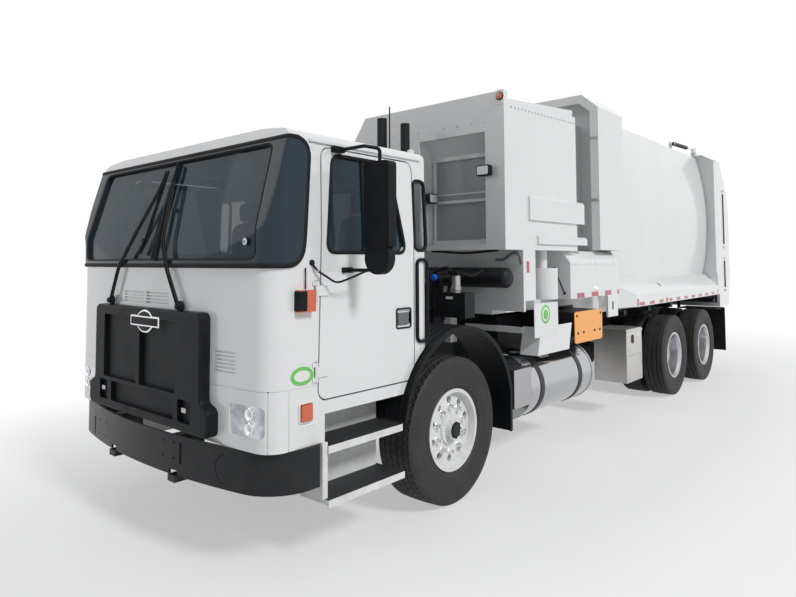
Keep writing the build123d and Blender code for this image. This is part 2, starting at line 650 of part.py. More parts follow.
def mirror_set():
    """Tall flat head and round wide-angle head on two bent tubes from the door."""
    near, far = cab_half + mirror_reach, cab_half + mirror_reach + mirror_w
    post_x = near + mirror_w / 2
    back_y = mirror_y + mirror_deep
    with BuildPart() as heads:
        prism(across(back_y), [(near, mirror_low_z), (far, mirror_low_z), (far, mirror_high_z),
                               (near, mirror_high_z)], mirror_deep, radius=mirror_corner_r)
        rod((post_x, mirror_y + 5, mirror_low_z - round_mirror_drop), (0, 1, 0), round_mirror_r,
            mirror_deep - 15)
        foot = cab_half - mirror_foot
        bent_tube([(foot, mirror_top_foot_y, mirror_top_foot_z),
                   (post_x - 40, mirror_top_foot_y, mirror_top_foot_z),
                   (post_x, mirror_y + mirror_deep / 2, mirror_top_foot_z - 8),
                   (post_x, mirror_y + mirror_deep / 2, mirror_high_z - 30)], mirror_tube_r, 24)
        bent_tube([(foot, mirror_low_foot_y, mirror_low_foot_z),
                   (near + 20, mirror_low_foot_y, mirror_low_foot_z),
                   (post_x, mirror_y + mirror_deep / 2, mirror_low_foot_z + 12),
                   (post_x, mirror_y + mirror_deep / 2, mirror_low_z + 30)], mirror_tube_r, 24)
        for foot_y, foot_z in ((mirror_top_foot_y, mirror_top_foot_z),
                               (mirror_low_foot_y, mirror_low_foot_z)):
            block((foot, cab_half + 14), (foot_y - 55, foot_y + 30), (foot_z - 17, foot_z + 17))
        add(cab_skin, mode=Mode.SUBTRACT)
    return heads


def seats():
    with BuildPart() as pair:
        for x in (-seat_x, seat_x):
            block((x - 250, x + 250), (cab_rear_y - 620, cab_rear_y - 130), (floor_z + 330, floor_z + 460))
            block((x - 250, x + 250), (cab_rear_y - 200, cab_rear_y - 80), (floor_z + 460, floor_z + 1020))
            block((x - 130, x + 130), (cab_rear_y - 185, cab_rear_y - 95), (floor_z + 1020, floor_z + 1200))
            block((x - 200, x + 200), (cab_rear_y - 760, cab_rear_y - 500), (floor_z, floor_z + 330))
    return pair


def dashboard():
    with BuildPart() as dash:
        block((-1100, 1100), (cab_front_y + 140, cab_front_y + 400), (1430, 1690))
        add(cab_inner_space, mode=Mode.INTERSECT)
        rod((seat_x, cab_front_y + 360, 1500), (0, .8, .6), 30, 300)
        with Locations(Plane(origin=(seat_x, cab_front_y + 360 + 240, 1500 + 180), z_dir=(0, .8, .6))):
            Torus(215, 14)
            Box(430, 40, 16)
    return dash


def engine():
    with BuildPart() as motor:
        block((-330, 330), (tunnel_front_y + 60, front_axle_y - 100), (frame_low_z - 130, tunnel_top_z - 60))
        rod((0, front_axle_y - 100, rear_tyre_r + 240), (0, 1, 0), 180, 600)
        rod((0, front_axle_y + 500, rear_tyre_r + 60), (0, 1, 0), 60, 249)
    return motor


def tunnel_cover():
    with BuildPart() as cover:
        block((-tunnel_half, tunnel_half), (tunnel_front_y, cab_rear_y - cab_wall),
              (floor_z - 40, tunnel_top_z))
        block((-tunnel_half + tunnel_wall, tunnel_half - tunnel_wall),
              (tunnel_front_y + tunnel_wall, cab_rear_y), (floor_z - 50, tunnel_top_z - tunnel_wall),
              mode=Mode.SUBTRACT)
    return cover


# Front
def front_bumper():
    """Bowed steel bar with rounded ends, slotted and drilled, on two brackets that carry the tow eyes."""
    with BuildPart() as bar:
        with BuildSketch(level(bumper_low_z)) as plan:
            with BuildLine():
                ThreePointArc((-body_half, bumper_corner_y), (0, bumper_front_y),
                              (body_half, bumper_corner_y))
                Polyline((body_half, bumper_corner_y), (body_half, bumper_end_y), (-body_half, bumper_end_y),
                         (-body_half, bumper_corner_y))
            make_face()
            fillet(plan.vertices().group_by(Axis.Y)[0], bumper_bend_r)
        extrude(plan.sketch, amount=bumper_top_z - bumper_low_z)
        with BuildSketch(level(bumper_low_z - 1)) as room:
            add(plan.sketch)
            offset(amount=-bumper_wall, mode=Mode.REPLACE)
        extrude(room.sketch, amount=bumper_top_z - bumper_low_z + 2, mode=Mode.SUBTRACT)
        block((-body_half - 1, body_half + 1), (bumper_end_y - bumper_wall - 1, bumper_end_y + 1),
              (bumper_low_z - 1, bumper_top_z + 1), mode=Mode.SUBTRACT)
        for x, z, height in bumper_slots:
            block((x - slot_w / 2, x + slot_w / 2), (bumper_front_y - 5, bumper_front_y + slot_deep),
                  (z - height / 2, z + height / 2), mode=Mode.SUBTRACT)
        for x, z in bumper_holes:
            rod((x, bumper_front_y - 5, z), (0, 1, 0), bumper_hole_r, slot_deep, mode=Mode.SUBTRACT)
        for sign in (-1, 1):
            rod((sign * fog_x, bumper_front_y - 5, fog_z), (0, 1, 0), fog_r, fog_deep, inner=fog_r - fog_gap,
                mode=Mode.SUBTRACT)
            bumper_bracket(sign)
    return bar


def bumper_bracket(sign):
    """One of the bumper's brackets under a rail, with its tow eye."""
    near, far = sign * (frame_half - 70), sign * frame_half
    inside = bumper_front_y + 2 * bumper_wall - 2
    block((near, far), (inside, frame_front_y + 60), (bumper_low_z + 20, cab_low_z - 0.3))
    block((near, far), (frame_front_y + 1, frame_front_y + 60), (bumper_low_z + 20, frame_low_z - 0.3))
    block((sign * (tow_x - 40), sign * (tow_x + 40)), (tow_y - 45, frame_front_y + 60),
          (bumper_low_z - tow_t, bumper_low_z + 20.1))
    block((sign * (tow_x - 41), sign * (tow_x + 41)), (tow_y - 46, tow_y + 45),
          (bumper_low_z, bumper_low_z + 30), mode=Mode.SUBTRACT)
    rod((sign * tow_x, tow_y, bumper_low_z - tow_t - 5), (0, 0, 1), tow_r, tow_t + 15, mode=Mode.SUBTRACT)


def grille():
    """Moulded grille: a thick rounded border on two feet, with sunk panels between its ribs."""
    half, foot, low, high = grille_half, grille_foot, grille_low_z, grille_top_z
    with BuildPart() as panel:
        prism(across(cab_front_y + 70),
              [(-foot, low), (foot, low), (foot, grille_foot_z), (half, grille_foot_z + 30),
                                         (half, high), (-half, high), (-half, grille_foot_z + 30),
                                         (-foot, grille_foot_z)], 70 + grille_deep, radius=grille_corner_r)
        front = panel.faces().sort_by(Axis.Y)[0]
        fillet(front.outer_wire().edges(), grille_edge_r)
        for x0, x1, z0, z1 in grille_panels:
            prism(across(cab_front_y - grille_deep + grille_sink), [(x0, z0), (x1, z0), (x1, z1), (x0, z1)],
                  grille_sink + 1, radius=grille_panel_r, mode=Mode.SUBTRACT)
        add(cab_skin, mode=Mode.SUBTRACT)
    return panel


def headlamp_space(fit):
    """The rounded space of one headlamp's pocket in the cab's nose."""
    x0, x1, z0, z1 = headlamp_x, headlamp_x + headlamp_w, headlamp_z, headlamp_z + headlamp_h
    with BuildPart() as pocket:
        prism(across(cab_front_y + 140), [(x0 - fit, z0 - fit), (x1 + fit, z0 - fit), (x1 + fit, z1 + fit),
                                          (x0 - fit, z1 + fit)], 150, radius=headlamp_r + fit)
    return pocket.part


def lamps():
    with BuildPart() as left:
        add(headlamp_space(0))
        add(cab_lens, mode=Mode.INTERSECT)
        block((cab_half - 40, cab_half + turn_lamp_out), turn_lamp_ys, turn_lamp_zs)
        block((cab_half - 40, cab_half + marker_out), marker_ys, marker_zs)
        with BuildPart(mode=Mode.PRIVATE) as side_cutter:
            add(cab_skin)
            add(headlamp_space(1), mode=Mode.SUBTRACT)
        add(side_cutter.part, mode=Mode.SUBTRACT)
    return with_twin(left)


def wipers():
    with BuildPart() as pair:
        for x, lean in ((-300, 1), (330, -1)):
            rod((x, cab_front_y + 20, 1514), (0, -1, 0), 15, 50)
            block((x - 12, x + 12), (cab_front_y - 25, cab_front_y - 12), (1514, 1800))
        add(cab_skin, mode=Mode.SUBTRACT)
    return pair


def front_fender():
    """Arch over a front wheel with a turned outer lip, ribs along its top and a straight rear flap."""
    with BuildPart() as arch:
        rod((fender_in_x, arch_y, arch_z), (1, 0, 0), arch_r, fender_out_x - fender_in_x,
            inner=arch_r - fender_wall)
        rod((fender_out_x - fender_lip_w, arch_y, arch_z), (1, 0, 0), arch_r + 4, fender_lip_w,
            inner=arch_r - fender_lip)
        for rib in range(fender_ribs):
            x = fender_in_x + (rib + 1) * (fender_out_x - fender_in_x) / (fender_ribs + 1) - 6
            rod((x, arch_y, arch_z), (1, 0, 0), arch_r + 6, 12, inner=arch_r - fender_wall / 2)
        block((fender_in_x - 100, fender_out_x + 50), (arch_y - 800, arch_y + 800),
              (arch_z - 800, arch_z + 125),
              mode=Mode.SUBTRACT)
        block((fender_in_x, fender_out_x), (arch_y + arch_r - 23, arch_y + arch_r - 9),
              (flap_low_z, arch_z + 140))
        block((fender_out_x - fender_lip_w, fender_out_x), (arch_y + arch_r - 23 - fender_lip + fender_wall,
                                                            arch_y + arch_r - 9), (flap_low_z, arch_z + 140))
        top = arch_z + arch_r
        block((frame_half - 60, fender_in_x + 5), (arch_y - 15, arch_y + 15), (top - 50, top - 13))
        block((frame_half - 60, frame_half), (arch_y - 15, arch_y + 15), (frame_top_z, top - 15))
    return with_twin(arch)


def cab_steps():
    """Two treads between a flat side plate in front and the sill behind them."""
    inside, outside = cab_half - step_deep, cab_half + step_out
    with BuildPart() as left:
        block((inside, cab_half + 20), (step_plate_y, step_plate_y + 40), (step_plate_z, cab_low_z - 0.3))
        for y_end, z in step_treads:
            block((inside, outside), (step_plate_y + 35, y_end), (z, z + step_t))
            block((outside - 12, outside), (step_plate_y + 35, y_end), (z - step_lip, z))
        block((inside, inside + 15), (step_plate_y + 38, step_treads[0][0]),
              (step_treads[1][1], sill_z - 0.3))
        for step_y in step_arm_ys:
            block((frame_half, inside + 1), (step_y, step_y + 50), (frame_low_z + 20, frame_low_z + 80))
    return with_twin(left)


# Behind the cab
def stacks():
    """Exhaust stack, air intake and aerial that stand behind the cab on one crossbar."""
    with BuildPart() as pipes:
        for x, radius, low, high in stack_rows:
            rod((x, stack_y, low), (0, 0, 1), radius, high - low)
        block((-frame_half, stack_bar_x), (stack_y - 40, stack_y + 40), (frame_top_z, 1120))
    return pipes


def air_tank():
    """Air tank with domed ends across the truck, and the cleaner's housing behind the cab, on their brackets."""
    with BuildPart() as tank:
        with BuildSketch(Plane(origin=(0, air_tank_y, air_tank_z), x_dir=(0, 0, 1),
                               z_dir=(0, 1, 0))) as dome:
            with BuildLine():
                start = tank_out_x - air_tank_r / 2
                Polyline((0, tank_out_x), (0, tank_in_x), (air_tank_r, tank_in_x), (air_tank_r, start),
                         (air_tank_r * .9, tank_out_x - air_tank_r * .27),
                         (air_tank_r * .66, tank_out_x - air_tank_r * .1), (0, tank_out_x))
            make_face()
        revolve(dome.sketch, axis=Axis((0, air_tank_y, air_tank_z), (1, 0, 0)))
        block((300, 420), (air_tank_y - 50, air_tank_y + 50), (frame_top_z, air_tank_z - 60))
        block(cleaner_xs, cleaner_ys, cleaner_zs)
        block((300, cleaner_xs[0] + 1), (cleaner_ys[0] + 20, cleaner_ys[1] - 20),
              (cleaner_zs[0], cleaner_zs[0] + 60))
        block((300, 420), (cleaner_ys[0] + 20, cleaner_ys[1] - 20), (frame_top_z, cleaner_zs[0] + 60))
    return tank


def fuel_tank():
    """Polished tank with rolled ends and two straps, the battery box before it and the guard plate over it."""
    with BuildPart() as tank:
        x = body_half - tank_r - tank_in
        rod((x, tank_front_y, tank_z), (0, 1, 0), tank_r, tank_l)
        for place in (0, tank_l - ring_w):
            rod((x, tank_front_y + place, tank_z), (0, 1, 0), tank_r + ring_t, ring_w,
                inner=tank_r - 2 * ring_t)
        for place in strap_places:
            y = tank_front_y + place
            rod((x, y, tank_z), (0, 1, 0), tank_r + strap_t, strap_w, inner=tank_r - 2 * strap_t)
            block((frame_half, x - tank_r * .7), (y, y + strap_w), (tank_z - 60, frame_low_z + 100))
        block((battery_in_x, body_half), battery_ys, battery_zs)
        block((frame_half, battery_in_x + 1), (battery_ys[0] + 60, battery_ys[1] - 60),
              (frame_low_z + 5, battery_zs[1] - 10))
        low, high = (guard_y, guard_low_z), (guard_y + guard_lean, guard_high_z)
        prism(side(body_half - guard_t),
              [low, (low[0] + guard_w, low[1]), (high[0] + guard_w, high[1]), high], guard_t)
        prism(side(body_half - guard_flank),
              [low, (low[0] + guard_t, low[1]), (high[0] + guard_t, high[1]), high],
              guard_flank)
        arm_ys = (high[0] - 40, high[0] + guard_t - 1)
        block((frame_half, body_half - guard_flank + 1), arm_ys, (guard_high_z - 60, guard_high_z - 8))
        block((frame_half, frame_half + 2 * strap_w), arm_ys, (frame_low_z + 60, guard_high_z - 8))
    return tank


def tool_box():
    """Aluminium box with its lid's lip, hung from the frame."""
    with BuildPart() as box:
        block((box_in_x, body_half), box_ys, (box_low_z, box_high_z))
        block((box_in_x - 5, body_half + box_lip), (box_ys[0] - box_lip, box_ys[1] + box_lip),
              (box_high_z - 40, box_high_z - 15))
        block((frame_half, box_in_x), (box_ys[0] + 120, box_ys[1] - 160),
              (frame_low_z + 70, frame_low_z + 150))
    return box


# Tipping body
def hopper():
    """Loading hopper: a box whose front overhangs its tub, low on the right, with its throat to the rear.

    The front wall has a deep bay, and folded ledges stiffen the tall left wall.
    """
    wall, tub = hopper_wall, hopper_tub_half
    low, brow = hopper_floor_z, hopper_brow_z
    upper = [(-tub, brow), (body_half, brow), (body_half, hopper_top_z), (hopper_far_x, hopper_top_z),
             (-tub - 60, hopper_sill_z), (-tub, hopper_sill_z - 60)]
    room = [(-tub + wall, brow + wall), (body_half - wall, brow + wall),
            (body_half - wall, hopper_top_z + 10),
            (hopper_far_x, hopper_top_z + 10), (-tub - 60, hopper_sill_z + 10),
            (-tub + wall, hopper_sill_z - 70)]
    mouth = throat_half - throat_wall
    with BuildPart() as bin_:
        prism(across(hopper_front_y), upper, hopper_front_y - hopper_rear_y)
        block((-tub, tub), (tub_front_y, hopper_rear_y), (low, brow + 1))
        prism(across(hopper_front_y + hopper_skin), room, hopper_front_y - hopper_rear_y + 2 * hopper_skin,
              mode=Mode.SUBTRACT)
        block((-tub + wall, tub - wall), (tub_front_y + hopper_skin, hopper_rear_y - hopper_skin),
              (low + wall, brow + wall + 1), mode=Mode.SUBTRACT)
        block((tub - 1, body_half), (tub_front_y, tub_front_y + hopper_skin), (low + 40, brow + 1))
        front_bay()
        prism(across(hopper_rear_y), [(-throat_half, low), (throat_half, low),
                                      (throat_half, throat_top_z), (-throat_half, throat_top_z)],
              hopper_rear_y - collar_front_y)
        prism(across(hopper_rear_y - 1), [(-mouth, low + wall), (mouth, low + wall),
                                          (mouth, throat_top_z - 80), (-mouth, throat_top_z - 80)],
              hopper_rear_y - collar_front_y - 10, mode=Mode.SUBTRACT)
        prism(across(hopper_rear_y - 2 * hopper_skin), [(-mouth, low + wall), (mouth, low + wall),
                                                        (mouth, throat_top_z - 300),
                                                        (-mouth, throat_top_z - 300)],
              -4 * hopper_skin, mode=Mode.SUBTRACT)
        left_wall_top()
        for z_top, z_low, start, end in hopper_ledges:
            prism(across(start), [(body_half - 1, z_top + ledge_out), (body_half + ledge_out, z_top),
                                  (body_half + ledge_out, z_low), (body_half - 1, z_low)], start - end)
        for sign in (-1, 1):
            block((sign * (frame_half - flange_w), sign * frame_half), (tub_front_y + 20, tub_front_y + 120),
                  (frame_top_z + body_rest, low + 1))
    return bin_


def front_bay():
    """The deep bay in the hopper's front wall, lined with sheet and with a sloping panel at its top."""
    x0, x1 = bay_x, bay_x + bay_w
    z0, z1 = bay_z, bay_z + bay_h
    y0, y1 = hopper_front_y, hopper_front_y + bay_deep
    block((x0 - hopper_skin, x1 + hopper_skin), (y0, y1 + hopper_skin), (z0 - hopper_skin, z1 + hopper_skin))
    block((x0, x1), (y0 - 1, y1), (z0, z1), mode=Mode.SUBTRACT)
    prism(side(x0 - 1), [(y0 + 60, z1 + 1), (y1 + 1, z1 - bay_slope), (y1 + 1, z1 + 1)], bay_w + 2)
    block((x0 - 1, x1 + 1), (y1 - 12, y1 + 1), (bay_seam_z, bay_seam_z + 14))


def left_wall_top():
    """Lowers the left wall's top towards the front and lays the rail along it."""
    y0, y1 = hopper_front_y + hopper_skin + 30, hopper_rear_y
    prism(side(body_half - hopper_wall - 1), [(y0, hopper_top_z - wall_drop), (y1 + 1, hopper_top_z - 5),
                                              (y1 + 1, hopper_top_z + 20), (y0, hopper_top_z + 20)],
          hopper_wall + 2, mode=Mode.SUBTRACT)
    prism(side(body_half - hopper_wall - rail_w),
          [(y0 + 40, hopper_top_z - wall_drop - 20), (y1, hopper_top_z - 30),
                                                   (y1, hopper_top_z + rail_up),
                                                   (y0 + 40, hopper_top_z - wall_drop
                                                                                  + rail_h)], rail_w + 10)


def collar_outline(inset, low):
    """Half-height arch of the collar drawn in by inset, down to low."""
    half, top, shoulder = body_half - inset, collar_top_z - inset, collar_shoulder_z - inset * .4
    peak = collar_peak_x - inset * .4
    return [(half, low), (half, shoulder), (peak, top), (-peak, top), (-half, shoulder), (-half, low)]


def collar():
    """Arch frame that joins the hopper's throat to the barrel, with a deep channel round its front."""
    mouth = throat_half - throat_wall
    low = hopper_floor_z + hopper_wall
    depth = collar_front_y - shell_front_y
    with BuildPart() as arch:
        prism(across(collar_front_y), collar_outline(0, collar_low_z), depth)
        block((-throat_half, throat_half), (collar_front_y, shell_front_y), (body_floor_z, collar_low_z + 1))
        prism(across(collar_front_y - 1), [(-mouth, low), (mouth, low), (mouth, throat_top_z - 80),
                                           (-mouth, throat_top_z - 80)], depth - 10, mode=Mode.SUBTRACT)
        with BuildPart(mode=Mode.PRIVATE) as hollow:
            prism(across(collar_front_y + collar_wall), collar_outline(collar_wall, collar_low_z - 10),
                  depth + 2 * collar_wall)
            prism(across(collar_front_y - 1), collar_outline(collar_lip, collar_low_z - 10),
                  -channel_deep - 1)
            block((-throat_half, throat_half), (collar_front_y - 2, shell_front_y),
                  (collar_low_z - 20, throat_top_z),
                  mode=Mode.SUBTRACT)
        add(hollow.part, mode=Mode.SUBTRACT)
        with BuildPart(mode=Mode.PRIVATE) as back:
            prism(across(collar_front_y + channel_deep), collar_outline(collar_wall - 1, collar_low_z),
                  -channel_wall)
            block((-throat_half + 1, throat_half - 1), (collar_front_y, shell_front_y),
                  (collar_low_z - 20, throat_top_z - 1), mode=Mode.SUBTRACT)
        add(back.part)
    return arch


def shell_outline(plane, inset):
    """The barrel section of the main body."""
    with BuildSketch(plane) as section:
        with BuildLine():
            ThreePointArc((900, body_floor_z), (shell_half, 2350), (940, 3465))
            ThreePointArc((940, 3465), (0, shell_roof_z), (-940, 3465))
            ThreePointArc((-940, 3465), (-shell_half, 2350), (-900, body_floor_z))
            Line((-900, body_floor_z), (900, body_floor_z))
        make_face()
        if inset:
            offset(amount=-inset, mode=Mode.REPLACE)
    return section.sketch


def body_shell():
    """Barrel with its flanged rear bulkhead and the tailgate's lugs."""
    with BuildPart() as shell:
        extrude(shell_outline(across(shell_front_y), 0), amount=shell_front_y - shell_rear_y)
        prism(across(shell_rear_y - rear_rim), bulkhead_outline(0, skirt_rim_z + 20), -rear_rim - 1)
        prism(across(shell_rear_y - rear_rim - 1), bulkhead_outline(rear_rim_t, skirt_rim_z), -rear_rim - 1,
              mode=Mode.SUBTRACT)
        extrude(shell_outline(across(shell_rear_y - rear_rim - 1), 0), amount=-rear_rim - 1)
        prism(across(shell_rear_y), bulkhead_outline(0, skirt_low_z), shell_rear_y - body_rear_y)
        extrude(shell_outline(across(shell_front_y - 1), body_wall), amount=shell_front_y - body_rear_y - 5,
                mode=Mode.SUBTRACT)
        lugs = tail_lugs()
        add(lugs)
        mirror(lugs, about=Plane.YZ)
    return shell


def bulkhead_outline(inset, low):
    """The rear bulkhead's outline with its chamfered top corners, drawn in by inset."""
    half, top, shoulder, peak = body_half - inset, tail_hinge_z - 45 - inset, 3390 - inset * .5, 1040 - inset * .5
    return [(-half, low), (half, low), (half, shoulder), (peak, top), (-peak, top), (-half, shoulder)]


def tail_lugs():
    """The left hinge ears with their pin and the ram's base lug on the roof."""
    with BuildPart() as lugs:
        for x in (tail_hinge_x - 15 - 12, tail_hinge_x + 15):
            block((x, x + 12), (tail_hinge_y - 40, tail_hinge_y + 30), (3470, tail_hinge_z + 35))
        rod((tail_hinge_x - 40, tail_hinge_y, tail_hinge_z), (1, 0, 0), tail_pin_r, 80)
        block((tail_ram_x - 60, tail_ram_x - 36), (tail_base_y - 40, tail_base_y + 40),
              (3440, tail_base_z + 32))
        rod((tail_ram_x - 60, tail_base_y, tail_base_z), (1, 0, 0), tail_pin_r, 80)
    return lugs.part


def body_floor_frame():
    """Two sills with their cross members, pivot bosses and the hoist rams' upper lugs."""
    with BuildPart() as sills:
        for sign in (-1, 1):
            x0, x1 = sign * (sill_half - sill_w / 2 + 1), sign * (sill_half + sill_w / 2 - 1)
            block((x0, x1), (shell_front_y - 600, pivot_y), (frame_top_z + body_rest, body_floor_z))
            rod((x0, pivot_y, pivot_z), (sign, 0, 0), 60, sill_w - 2)
            block((x0, x1), (pivot_y - 130, pivot_y + 80), (frame_top_z - 5, pivot_z - 60),
                  mode=Mode.SUBTRACT)
        for y in (shell_front_y - 500, shell_front_y + 500, shell_front_y + 1350, shell_front_y + 2250):
            block((-1000, 1000), (y, y + 80), (body_floor_z - cross_h, body_floor_z))
        block((-body_half + 40, body_half - 40), (shell_rear_y - 140, shell_rear_y - 60),
              (body_floor_z - cross_h, body_floor_z))
        for sign in (-1, 1):
            rod((sign * (sill_half - sill_w), pivot_y, pivot_z), (sign, 0, 0), pivot_r + pin_clear,
                2 * sill_w,
                mode=Mode.SUBTRACT)
            for inner in (hoist_x - lug_reach - lug_t, hoist_x + lug_reach):
                block((sign * inner, sign * (inner + lug_t)), (hoist_eye_y - 45, hoist_eye_y + 45),
                      (hoist_eye_z - 40, body_floor_z))
            for boss_x in (hoist_x - lug_reach - lug_t - boss_t, hoist_x + lug_reach + lug_t):
                rod((sign * boss_x, hoist_eye_y, hoist_eye_z), (sign, 0, 0), hoist_pin_r + 8, boss_t)
            block((sign * sill_half, sign * (hoist_x + lug_reach + 20)),
                  (hoist_eye_y - 60, hoist_eye_y + 60),
                  (body_floor_z - lug_t, body_floor_z))
    return sills


def skirt_profile(inset):
    """Section of the sloping left skirt's outside, drawn in by inset."""
    return [(900, skirt_low_z), (900, skirt_rim_z - inset * .8),
            (skirt_rim_x - inset * .4, skirt_rim_z - inset * .8),
            (body_half - inset, skirt_edge_z - inset * .6), (body_half - inset, skirt_low_z)]


def skirts():
    """Sloping covers over the rear wheels, cut off at a slant in front and joined to the body's sides."""
    with BuildPart() as left:
        front, rear = shell_front_y + 10, shell_rear_y - 1
        slant = [(skirt_rim_x + 50, front - 1), (body_half + 5, front + skirt_slant),
                 (body_half + 5, front - 1)]
        inner_slant = [(x - 22, y + 22) for x, y in slant[:2]]
        prism(across(front), skirt_profile(0), front - rear)
        prism(across(front - 1), [(x, z - 1) for x, z in skirt_profile(skirt_t)], front - rear - 2,
              mode=Mode.SUBTRACT)
        for y in (front, front + 1900, rear - 20):
            prism(across(y), skirt_profile(skirt_t - 1), -20)
        with BuildPart(mode=Mode.PRIVATE) as end:
            prism(across(front), skirt_profile(0), -skirt_slant - 30)
            prism(level(skirt_low_z - 5), slant[:2] + inner_slant[::-1], skirt_rim_z - skirt_low_z + 10,
                  mode=Mode.INTERSECT)
        add(end.part)
        prism(level(skirt_low_z - 5), slant, skirt_rim_z - skirt_low_z + 10, mode=Mode.SUBTRACT)
        block((900, 1000), (front, rear), (skirt_low_z, skirt_low_z + 20))
        extrude(shell_outline(across(front - 5), 0), amount=front - rear - 10, mode=Mode.SUBTRACT)
    with BuildPart() as both:
        add(left.part)
        mirror(left.part, about=Plane.YZ)
        middle = ((skirt_rim_x + body_half) / 2, filler_y, (skirt_rim_z + skirt_edge_z) / 2)
        inward = (-1, 0, -1)
        rod(middle, inward, filler_r + filler_wall, filler_deep)
        rod(middle, inward, filler_r, filler_deep, mode=Mode.SUBTRACT)
    return both


def locker():
    """Side locker under the collar, with the upright tank and the white post before it."""
    with BuildPart() as box:
        inner = throat_half + .3
        prism(across(locker_ys[0]),
              [(inner, locker_low_z), (body_half, locker_low_z), (body_half, locker_high_z),
                                     (body_half - locker_chamfer, hopper_brow_z - .3),
                                     (inner, hopper_brow_z - .3)],
              locker_ys[0] - locker_ys[1])
        rod((upright_x, upright_y, upright_zs[0]), (0, 0, 1), upright_r, upright_zs[1] - upright_zs[0])
        rod((upright_x, upright_y, upright_zs[1] - 1), (0, 0, 1), upright_r / 3,
            hopper_brow_z - .3 - upright_zs[1] + 1)
        block((body_half - post_t, body_half), post_ys, (post_low_z, hopper_brow_z - .3))
        block((body_half - post_t, body_half), rear_post_ys, rear_post_zs)
    return box


def rear_flaps():
    with BuildPart() as left:
        block((620, 1200), (shell_rear_y - 100, shell_rear_y + 420), (1000, 1012))
        block((620, 1210), (shell_rear_y + 395, shell_rear_y + 407), (310, 1001))
        block((620, 660), (shell_rear_y - 100, shell_rear_y - 60), (1001, body_floor_z - 60.3))
    return with_twin(left)


# Tailgate
def tailgate():
    outline = [(-body_half, 3400), (-body_half, tail_low_z), (body_half, tail_low_z), (body_half, 3400),
               (1000, tail_top_z), (-1000, tail_top_z)]
    profile = [(tail_front_y, tail_low_z), (tail_front_y, tail_top_z), (tail_front_y + 110, tail_top_z),
               (tail_rear_y - 60, 2850), (tail_rear_y, 2500), (tail_rear_y, 1500),
               (tail_rear_y - 120, tail_low_z)]
    with BuildPart() as gate:
        prism(across(tail_front_y), outline, tail_front_y - tail_rear_y - 10)
        prism(side(-body_half - 5), profile, 2 * body_half + 10, mode=Mode.INTERSECT)
        with BuildPart(mode=Mode.PRIVATE) as hollow:
            prism(across(tail_front_y - 10), [(-body_half + 40, 3360), (-body_half + 40, tail_low_z + 60),
                                             (body_half - 40, tail_low_z + 60), (body_half - 40, 3360)],
                  tail_front_y - tail_rear_y)
            prism(side(-body_half - 5), [(tail_front_y - 10, tail_low_z + 60), (tail_front_y - 10, 3400),
                                         (tail_front_y + 90, 3400), (tail_rear_y - 100, 2830),
                                         (tail_rear_y - 40, 2490), (tail_rear_y - 40, 1510),
                                         (tail_rear_y - 150, tail_low_z + 60)], 2 * body_half + 10,
                  mode=Mode.INTERSECT)
        add(hollow.part, mode=Mode.SUBTRACT)
        for sign in (-1, 1):
            tail_lamp_block(sign, glass_fit, Mode.SUBTRACT)
        lever = tail_lever()
        add(lever)
        mirror(lever, about=Plane.YZ)
    return gate


def tail_lever():
    """The left hinge plate, raised into the lever that the ram pulls."""
    with BuildPart() as lever:
        x = tail_hinge_x
        prism(side(x - 10), [(tail_front_y, 3400), (tail_front_y + 100, 3400), (tail_eye_y + 30, tail_eye_z),
                             (tail_eye_y, tail_eye_z + 30), (tail_eye_y - 25, tail_eye_z + 20),
                             (tail_hinge_y - 34, tail_hinge_z + 10),
                             (tail_hinge_y - 20, tail_hinge_z - 32), (tail_front_y, tail_top_z)], 20)
        rod((x - 11, tail_hinge_y, tail_hinge_z), (1, 0, 0), tail_pin_r + pin_clear, 22, mode=Mode.SUBTRACT)
    return lever.part


def tail_lamp_block(sign, fit, mode=Mode.ADD):
    """One tall lamp cluster, let into the tailgate's rear face."""
    block((sign * (1060 - fit), sign * (1180 + fit)), (tail_rear_y - 25 - fit, tail_rear_y + 1),
          (1560 - fit, 1900 + fit), mode)


def tail_lamps():
    with BuildPart() as pair:
        for sign in (-1, 1):
            tail_lamp_block(sign, 0)
        block((-body_half, body_half), (tail_rear_y, tail_rear_y + 2), (1500, 2000), mode=Mode.SUBTRACT)
    return pair


def ram(base, eye, x, radius, rod_r, pin_r, part_of, closed, retract, eye_r, width, pin_reach):
    """One hydraulic ram between two pins on the plane x; part_of picks its barrel or its rod.

    The rod's end is solid with its pin, which reaches pin_reach from x to the lug's face.
    """
    (base_y, base_z), (eye_y, eye_z) = base, eye
    run = ((eye_y - base_y) ** 2 + (eye_z - base_z) ** 2) ** .5
    along = (0, (eye_y - base_y) / run, (eye_z - base_z) / run)

    def at(distance):
        return (x, base_y + along[1] * distance, base_z + along[2] * distance)

    if part_of == "barrel":
        rod(at(eye_r - 6), along, radius, closed - eye_r + 6)
        rod((x - width / 2, base_y, base_z), (1, 0, 0), eye_r, width)
        rod((x - width, base_y, base_z), (1, 0, 0), pin_r + pin_clear, 2 * width, mode=Mode.SUBTRACT)
        rod(at(eye_r + 30), along, rod_r + pin_clear, closed, mode=Mode.SUBTRACT)
    else:
        inside = eye_r + 40 + retract
        rod(at(inside), along, rod_r, run - inside - eye_r + 6)
        rod((x - width / 2, eye_y, eye_z), (1, 0, 0), eye_r, width)
        rod((x, eye_y, eye_z), (1, 0, 0), pin_r, pin_reach)


def hoist(part_of):
    with BuildPart() as left:
        ram((hoist_base_y, hoist_base_z), (hoist_eye_y, hoist_eye_z), hoist_x, hoist_barrel_r,
            hoist_rod_r, hoist_pin_r, part_of, hoist_closed, 0, hoist_eye_r, hoist_width,
            lug_reach - pin_clear)
        if part_of == "rod":
            rod((hoist_x - lug_reach + pin_clear, hoist_eye_y, hoist_eye_z), (1, 0, 0), hoist_pin_r, 20)
    return with_twin(left)


